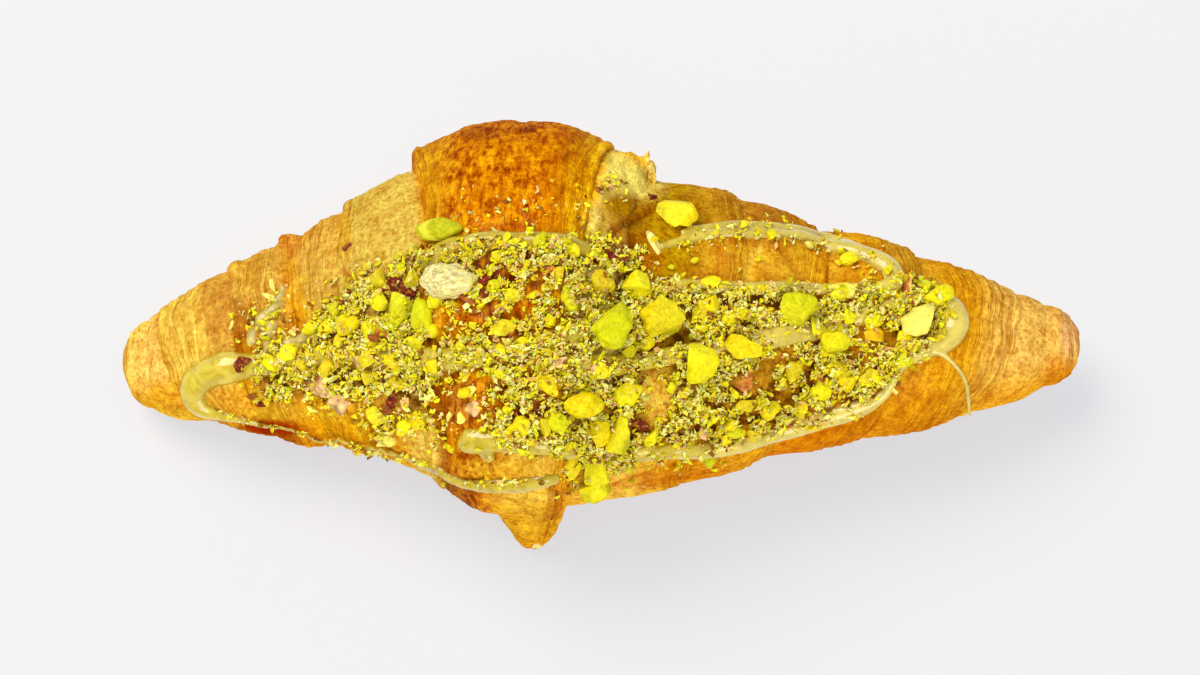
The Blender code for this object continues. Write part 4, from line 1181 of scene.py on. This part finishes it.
chips = {
    "spots": (
        (329, 328, 20, 16, 70, "lemon", "chunk"), (346, 326, 28, 20, 15, "yellow", "crumbly"),
        (383, 304, 22, 18, 100, "lemon", "chunk"), (404, 307, 28, 22, 60, "leaf", "chunk"),
        (423, 318, 34, 20, 95, "lime", "smooth"), (416, 346, 22, 17, 10, "lemon", "chunk"),
        (287, 353, 24, 17, -12, "lemon", "chunk"), (525, 426, 20, 16, 30, "lemon", "crumbly"),
        (560, 423, 24, 22, -40, "lime", "chunk"), (545, 381, 28, 14, -45, "yellow", "crumbly"),
        (628, 354, 18, 14, 60, "lemon", "chunk"), (571, 466, 22, 15, 80, "yellow", "smooth"),
        (622, 396, 36, 20, 20, "lemon", "chunk"), (722, 439, 14, 11, 40, "lemon", "smooth"),
        (734, 431, 15, 12, 20, "lime", "smooth"), (711, 459, 18, 16, 0, "lime", "crumbly"),
        (404, 428, 20, 14, 30, "lemon", "chunk"), (390, 440, 12, 11, 0, "milk", "smooth"),
        (815, 328, 22, 15, -40, "lemon", "smooth"), (843, 290, 26, 13, -12, "milk", "flat"),
        (849, 260, 15, 13, 0, "lemon", "crumbly"), (832, 342, 34, 20, 75, "lemon", "crumbly"),
        (836, 369, 24, 15, -60, "yellow", "chunk"), (872, 336, 22, 16, -25, "honey", "smooth"),
        (904, 337, 18, 12, -10, "lemon", "smooth"), (937, 296, 28, 18, 15, "lemon", "crumbly"),
        (709, 283, 20, 12, 10, "lemon", "flat"), (645, 344, 14, 12, 30, "yellow", "crumbly"),
        (471, 391, 15, 9, 10, "milk", "flat"), (461, 418, 12, 9, 60, "milk", "flat"),
        (600, 372, 16, 13, 20, "lemon", "crumbly"), (770, 410, 20, 16, 30, "yellow", "crumbly"),
        (800, 408, 18, 14, 60, "lemon", "crumbly"), (745, 404, 18, 14, 0, "gold", "crumbly"),
        (868, 376, 20, 15, 30, "gold", "crumbly"), (820, 392, 18, 16, 10, "lemon", "crumbly"),
        (500, 330, 16, 13, 0, "gold", "crumbly"), (368, 358, 18, 13, 30, "gold", "crumbly"),
        (700, 312, 18, 14, 20, "gold", "crumbly"), (730, 318, 16, 13, 70, "lemon", "crumbly"),
        (398, 384, 16, 12, 0, "gold", "crumbly"), (300, 381, 14, 10, 20, "lemon", "chunk"),
        (597, 470, 28, 26, 60, "lemon", "chunk"), (598, 430, 34, 20, 80, "yellow", "smooth"),
        (396, 322, 20, 18, 20, "lime", "smooth"), (438, 300, 20, 15, 30, "lemon", "crumbly"),
        (585, 405, 22, 18, 10, "yellow", "chunk"), (640, 292, 26, 16, 40, "lemon", "chunk"),
    ),
    "scale": 1.2, "thick": 0.62, "flatter": 0.6, "raised": 0.34, "seed": 31,
}


def addChips(paint, tree):
    draw = random.Random(chips["seed"])
    pieces = []
    for px, py, long, wide, heading, tone, style in chips["spots"]:
        place, normal = underPixel(tree, px, py)
        thick = chips["thick"] * wide * (chips["flatter"] if style == "flat" else 1)
        sizes = Vector((long, wide, thick)) / cameraSet["pixelsPerMm"] * chips["scale"]
        normal = (normal + Vector((0, 0, 1))).normalized()
        place = place + normal * chips["raised"] * sizes.z
        pieces.append(nutBit(place, normal, math.radians(heading), sizes, draw, tone, style))
    return finishPiece(joined(pieces), "nutPieces", paint, smooth=40)


# Papery skins, pink-brown flakes and slivers

flakes = {
    "tones": {
        "skin": (120, 32, 16), "brown": (150, 78, 32), "pink": (232, 184, 128), "straw": (236, 212, 128),
        "rust": (206, 122, 56), "crust": (255, 236, 140), "toast": (248, 206, 92),
    },
    "spots": (  # point of the picture, length, width, heading and tone
        (390, 284, 24, 12, 10, "skin"), (400, 289, 20, 11, -25, "skin"), (411, 293, 14, 9, 20, "skin"),
        (384, 290, 14, 10, 60, "skin"), (244, 363, 17, 13, 5, "skin"), (240, 367, 10, 8, 50, "skin"),
        (348, 247, 11, 4, 30, "brown"), (608, 255, 18, 9, -20, "skin"), (622, 258, 18, 10, 15, "brown"),
        (596, 262, 12, 8, 0, "skin"), (380, 334, 16, 11, -20, "rust"), (374, 338, 12, 9, 40, "brown"),
        (394, 399, 18, 10, 50, "skin"), (388, 410, 14, 9, -20, "brown"), (320, 386, 32, 22, -35, "pink"),
        (342, 402, 24, 16, 30, "pink"), (364, 360, 20, 12, 35, "pink"), (475, 407, 17, 12, 45, "pink"),
        (579, 430, 18, 9, 80, "rust"), (597, 368, 12, 9, 20, "pink"), (702, 434, 15, 9, -60, "pink"),
        (907, 288, 29, 6, 80, "rust"), (909, 284, 20, 4, 74, "pink"), (655, 246, 31, 8, -62, "straw"),
        (508, 334, 14, 8, 30, "rust"), (548, 270, 14, 8, 10, "rust"), (470, 300, 20, 9, -30, "brown"),
        (490, 278, 22, 10, 20, "skin"), (708, 312, 16, 10, 70, "rust"), (745, 381, 20, 16, 60, "rust"),
        (640, 425, 18, 10, -20, "skin"), (560, 362, 14, 8, 30, "pink"), (254, 397, 16, 7, -25, "brown"),
        (262, 404, 12, 5, -10, "skin"), (345, 305, 14, 8, -10, "brown"), (600, 190, 9, 6, 30, "brown"),
        (610, 188, 9, 6, -20, "pink"), (653, 198, 8, 6, 10, "skin"), (790, 425, 10, 6, 10, "rust"),
        (825, 380, 14, 8, 30, "brown"), (537, 545, 11, 7, 0, "straw"),
    ),
    "torn": (  # slivers of crust: place in mm, length, width, heading, tone
        ((8.8, 31.0, 33.6), 4.2, 1.5, 66, "toast"), ((10.0, 29.4, 33.2), 3.4, 1.5, -58, "crust"),
        ((5.2, 31.6, 34.0), 6.5, 1.3, -24, "crust"), ((10.3, 27.2, 33.2), 3.0, 1.4, -84, "toast"),
    ),
    "scale": 1.1, "thick": 0.42, "wavy": 0.6, "waveSize": 1.1, "lift": 0.35, "ragged": 0.3, "taper": 0.9,
    "seed": 17, "tornSeed": 4,
}


def flake(place, normal, heading, long, wide, tone, draw):
    turned = turnedTo(normal, heading)
    offset = Vector((draw.uniform(-9, 9), draw.uniform(-9, 9), 0))
    startMesh()
    bpy.ops.mesh.primitive_ico_sphere_add(subdivisions=3, radius=0.5)
    piece = bpy.context.object
    colours = []
    for vert in piece.data.vertices:
        x, y, z = vert.co
        edge = 1 + flakes["ragged"] * noise.noise(Vector((x, y, 0)).normalized() * 1.4 + offset)
        point = Vector((x * long * edge, y * wide * edge * (1 - flakes["taper"] * x), 0))
        crumple = noise.noise(point / flakes["waveSize"] + offset)
        point.z = z * flakes["thick"] + flakes["wavy"] * crumple + flakes["lift"]
        vert.co = (turned @ point + place) * mm
        # lighter where the flake rises and darker in its dips: painted light and shade
        colours.append((*(tone * (1 + 0.9 * crumple)), 1.0))
    keep(piece.data, "tone", colours, "FLOAT_COLOR")
    return piece


def addFlakes(paint, tree):
    draw = random.Random(flakes["seed"])
    pieces = []
    for px, py, long, wide, heading, name in flakes["spots"]:
        place, normal = underPixel(tree, px, py)
        while place is None:  # over the edge: the nearest place further in
            py -= 1
            place, normal = underPixel(tree, px, py)
        tone = Vector(linear(flakes["tones"][name]))
        normal = (normal + Vector((draw.gauss(0, 0.2), draw.gauss(0, 0.2), 0.6))).normalized()
        pixel = flakes["scale"] / cameraSet["pixelsPerMm"]
        pieces.append(flake(place, normal, math.radians(heading), long * pixel, wide * pixel, tone, draw))
    return finishPiece(joined(pieces), "paperySkins", paint)


def addTornCrust():  # slivers along the torn end of the shortest turn
    draw = random.Random(flakes["tornSeed"])
    pieces = []
    for place, long, wide, heading, name in flakes["torn"]:
        tone = Vector(linear(flakes["tones"][name]))
        normal = (Vector((draw.gauss(0, 0.3), draw.gauss(0, 0.3), 0)) - viewLine).normalized()
        pieces.append(flake(Vector(place), normal, math.radians(heading), long, wide, tone, draw))
    return finishPiece(joined(pieces), "tornCrust", crust)


# Crumbs in the order in which they fall: how many, sizes, how deep they sit, and tones with their shares;
# gathered is 1 where they lie as thickly as strewn says, and more where they keep to its middle

crumbs = {
    "coarseCrumbs": {
        "count": 3000, "sizes": (1.1, 3.0), "sunk": 0.2, "gathered": 1,
        "tones": (((253, 238, 20), 5), ((246, 214, 24), 4), ((255, 245, 120), 4), ((222, 216, 6), 2),
                  ((238, 186, 116), 1)),
    },
    "skinBits": {
        "count": 1200, "sizes": (0.8, 2.0), "sunk": 0.15, "gathered": 2,
        "tones": (((110, 44, 16), 4), ((154, 76, 26), 3), ((220, 162, 110), 2)),
    },
    "fineCrumbs": {
        "count": 9500, "sizes": (0.8, 1.9), "sunk": 0.3, "gathered": 1,
        "tones": (((255, 246, 142), 7), ((248, 218, 40), 5), ((150, 92, 12), 2), ((254, 238, 32), 5),
                  ((222, 216, 6), 1), ((242, 196, 124), 2)),
    },
    "nutPowder": {
        "count": 4500, "sizes": (0.4, 0.95), "sunk": 0.35, "gathered": 1,
        "tones": (((255, 246, 150), 8), ((244, 210, 40), 4), ((254, 236, 44), 4), ((120, 72, 10), 1)),
    },
}
crumbLook = {
    "area": ((232, 956), (170, 495)), "tries": 14,  # of the picture, and how many fall for each that stays
    "onNuts": 0.22,                                 # share of those over a larger piece that stay there
    "evenly": 0.62, "heaps": (1.6, 19), "clumps": (2.2, 7), "lowest": 6.0,
    "paintedShade": (118, 62, 12), "paintedShadeShare": 0.4,          # painted shade: each bit browner towards its underside
    "shapes": 16, "corners": 8, "seed": 21, "quickShare": 0.35,
}


def rimPoints(draw):  # the last row comes first
    xs, ys = [], []
    for tried, stray, route in strewn["rims"]:
        for _ in range(tried):
            part = draw.uniform(0, len(route) - 1.001)
            (x0, y0), (x1, y1) = route[int(part)], route[int(part) + 1]
            part %= 1
            xs.append(x0 + (x1 - x0) * part + draw.gauss(0, stray))
            ys.append(y0 + (y1 - y0) * part + draw.gauss(0, stray))
    return xs[::-1], ys[::-1]


def crumbLies(x, y, draw):  # in heaps and in smaller clumps
    (heap, heapSize), (clump, clumpSize) = crumbLook["heaps"], crumbLook["clumps"]
    chance = crumbLook["evenly"] + heap * noise.noise(Vector((x, y, 9)) / heapSize)
    chance += clump * noise.noise(Vector((x, y, 3)) / clumpSize)
    return draw.random() <= chance


def scatterCrumbs(name, tree, nutTree, shapes, seed):
    crumb = crumbs[name]
    smallest, largest = crumb["sizes"]
    count = round(crumb["count"] * (1.0))
    tones, weights = zip(*crumb["tones"])
    tones = [np.array(linear(tone)) for tone in tones]
    draw, many = random.Random(seed), np.random.default_rng(seed)
    tried = crumbLook["tries"] * count
    px, py = (many.uniform(low, high, tried) for low, high in crumbLook["area"])
    kept = many.uniform(0, 1, tried) < crumbShare(px, py) ** crumb["gathered"]
    px, py = px[kept], py[kept]
    if name == "fineCrumbs":
        rimX, rimY = rimPoints(draw)
        px, py = np.concatenate([rimX, px]), np.concatenate([rimY, py])
    bits = []
    for x, y in zip(px, py):
        if len(bits) == count:
            break
        if not crumbLies(x, y, draw):
            continue
        if underPixel(nutTree, x, y)[0] and draw.random() > crumbLook["onNuts"]:
            continue
        place, normal = underPixel(tree, x, y)
        if place is None or place.z < crumbLook["lowest"]:
            continue
        size = smallest + (largest - smallest) * draw.random() ** 2
        tone = np.minimum(draw.choices(tones, weights)[0] * draw.uniform(0.8, 1.35), 1.0)
        sizes = [size * draw.uniform(*span) for span in ((0.9, 1.4), (0.55, 0.95), (0.4, 0.75))]
        place = np.array(place + normal * size * crumb["sunk"])
        bits.append((place, tumbled(draw, sizes), tone, draw.randrange(len(shapes))))
    return bits


nutMaterial, crumbMaterial = (nutPaint(name, *finish) for name, finish in nuts["finishes"].items())
kernelDraw = random.Random(nuts["seed"])
kernels = [dressKernel(number, nutMaterial, kernelDraw) for number in sorted(nuts["kernels"])]
choppedPistachio = addMorsels(nutMaterial)
nutPieces = addChips(nutMaterial, toppedTree)
addTornCrust()
paperySkins = addFlakes(nutMaterial, treeOf(rolledDough, pipedCream, choppedPistachio))
say("kernels, chopped pistachio and skins")
angular = chunkShapes(crumbLook["shapes"], crumbLook["corners"], random.Random(crumbLook["seed"]))
nutTree = treeOf(choppedPistachio, nutPieces, paperySkins, *kernels)
lying = [rolledDough, pipedCream]
for number, name in enumerate(crumbs):
    tree = treeOf(*lying)
    if name == "skinBits":
        lying += [choppedPistachio, nutPieces]
    bits = scatterCrumbs(name, tree, nutTree, angular, crumbLook["seed"] + number)
    lying.append(bitsPiece(name, bits, angular, crumbMaterial))


# Camera, floor and light

studio = {
    "floorSize": 6.0, "floorTones": ((0.315, 0.281, 0.237), (0.325, 0.289, 0.243)),
    "floorGlow": (0.876, 0.931, 1.0), "glowStrength": 0.675, "world": 0.38, "aim": (0, 0, 0.02),
    "lights": {  # place and size in metres, watts; the second spares the floor, so no shadow falls behind
        "keyLight": ((-1.4, 1.2, 2.6), 2.1, 80.0),
        "frontLight": ((0.9, -2.6, 2.0), 2.4, 80.0),
    },
}


def addCamera():
    camera = bpy.data.objects.new("camera", bpy.data.cameras.new("camera"))
    bpy.context.scene.collection.objects.link(camera)
    camera.location = eyePoint * mm
    camera.rotation_euler = viewLine.to_track_quat("-Z", "Y").to_euler()
    width = cameraSet["picture"][0] / cameraSet["pixelsPerMm"]
    camera.data.sensor_width = cameraSet["sensor"]
    camera.data.lens = cameraSet["sensor"] * cameraSet["distance"] / width
    camera.data.clip_start, camera.data.clip_end = 0.01, 50
    bpy.context.scene.camera = camera


def addFloor():
    startMesh()
    bpy.ops.mesh.primitive_plane_add(size=studio["floorSize"], location=(0, 0, -0.2 * mm))
    floor = bpy.context.object
    floor.name = "floor"
    paint = Paint("paleFloor")
    pale = paint.mix(paint.grain(paint.place(), 120.0, 2.0), *studio["floorTones"])
    paint.set(Base_Color=pale, Roughness=0.9, Specular_IOR_Level=0.0,
              Emission_Color=studio["floorGlow"], Emission_Strength=studio["glowStrength"])
    floor.data.materials.append(paint.material)
    return floor


def addLights(floor):
    world = bpy.data.worlds.new("studio")
    bpy.context.scene.world = world
    world.use_nodes = True
    world.node_tree.nodes["Background"].inputs["Color"].default_value = (1, 1, 1, 1)
    world.node_tree.nodes["Background"].inputs["Strength"].default_value = studio["world"]
    for name, (place, size, power) in studio["lights"].items():
        light = bpy.data.objects.new(name, bpy.data.lights.new(name, "AREA"))
        bpy.context.scene.collection.objects.link(light)
        light.location = place
        light.rotation_euler = (Vector(studio["aim"]) - Vector(place)).to_track_quat("-Z", "Y").to_euler()
        light.data.size, light.data.energy = size, power
        if name == "frontLight":
            spared = bpy.data.collections.new("spared")
            spared.objects.link(floor)
            light.light_linking.receiver_collection = spared
            spared.collection_objects[0].light_linking.link_state = "EXCLUDE"
    bpy.context.scene.view_settings.view_transform = "Standard"


addCamera()
addLights(addFloor())
say("stage")
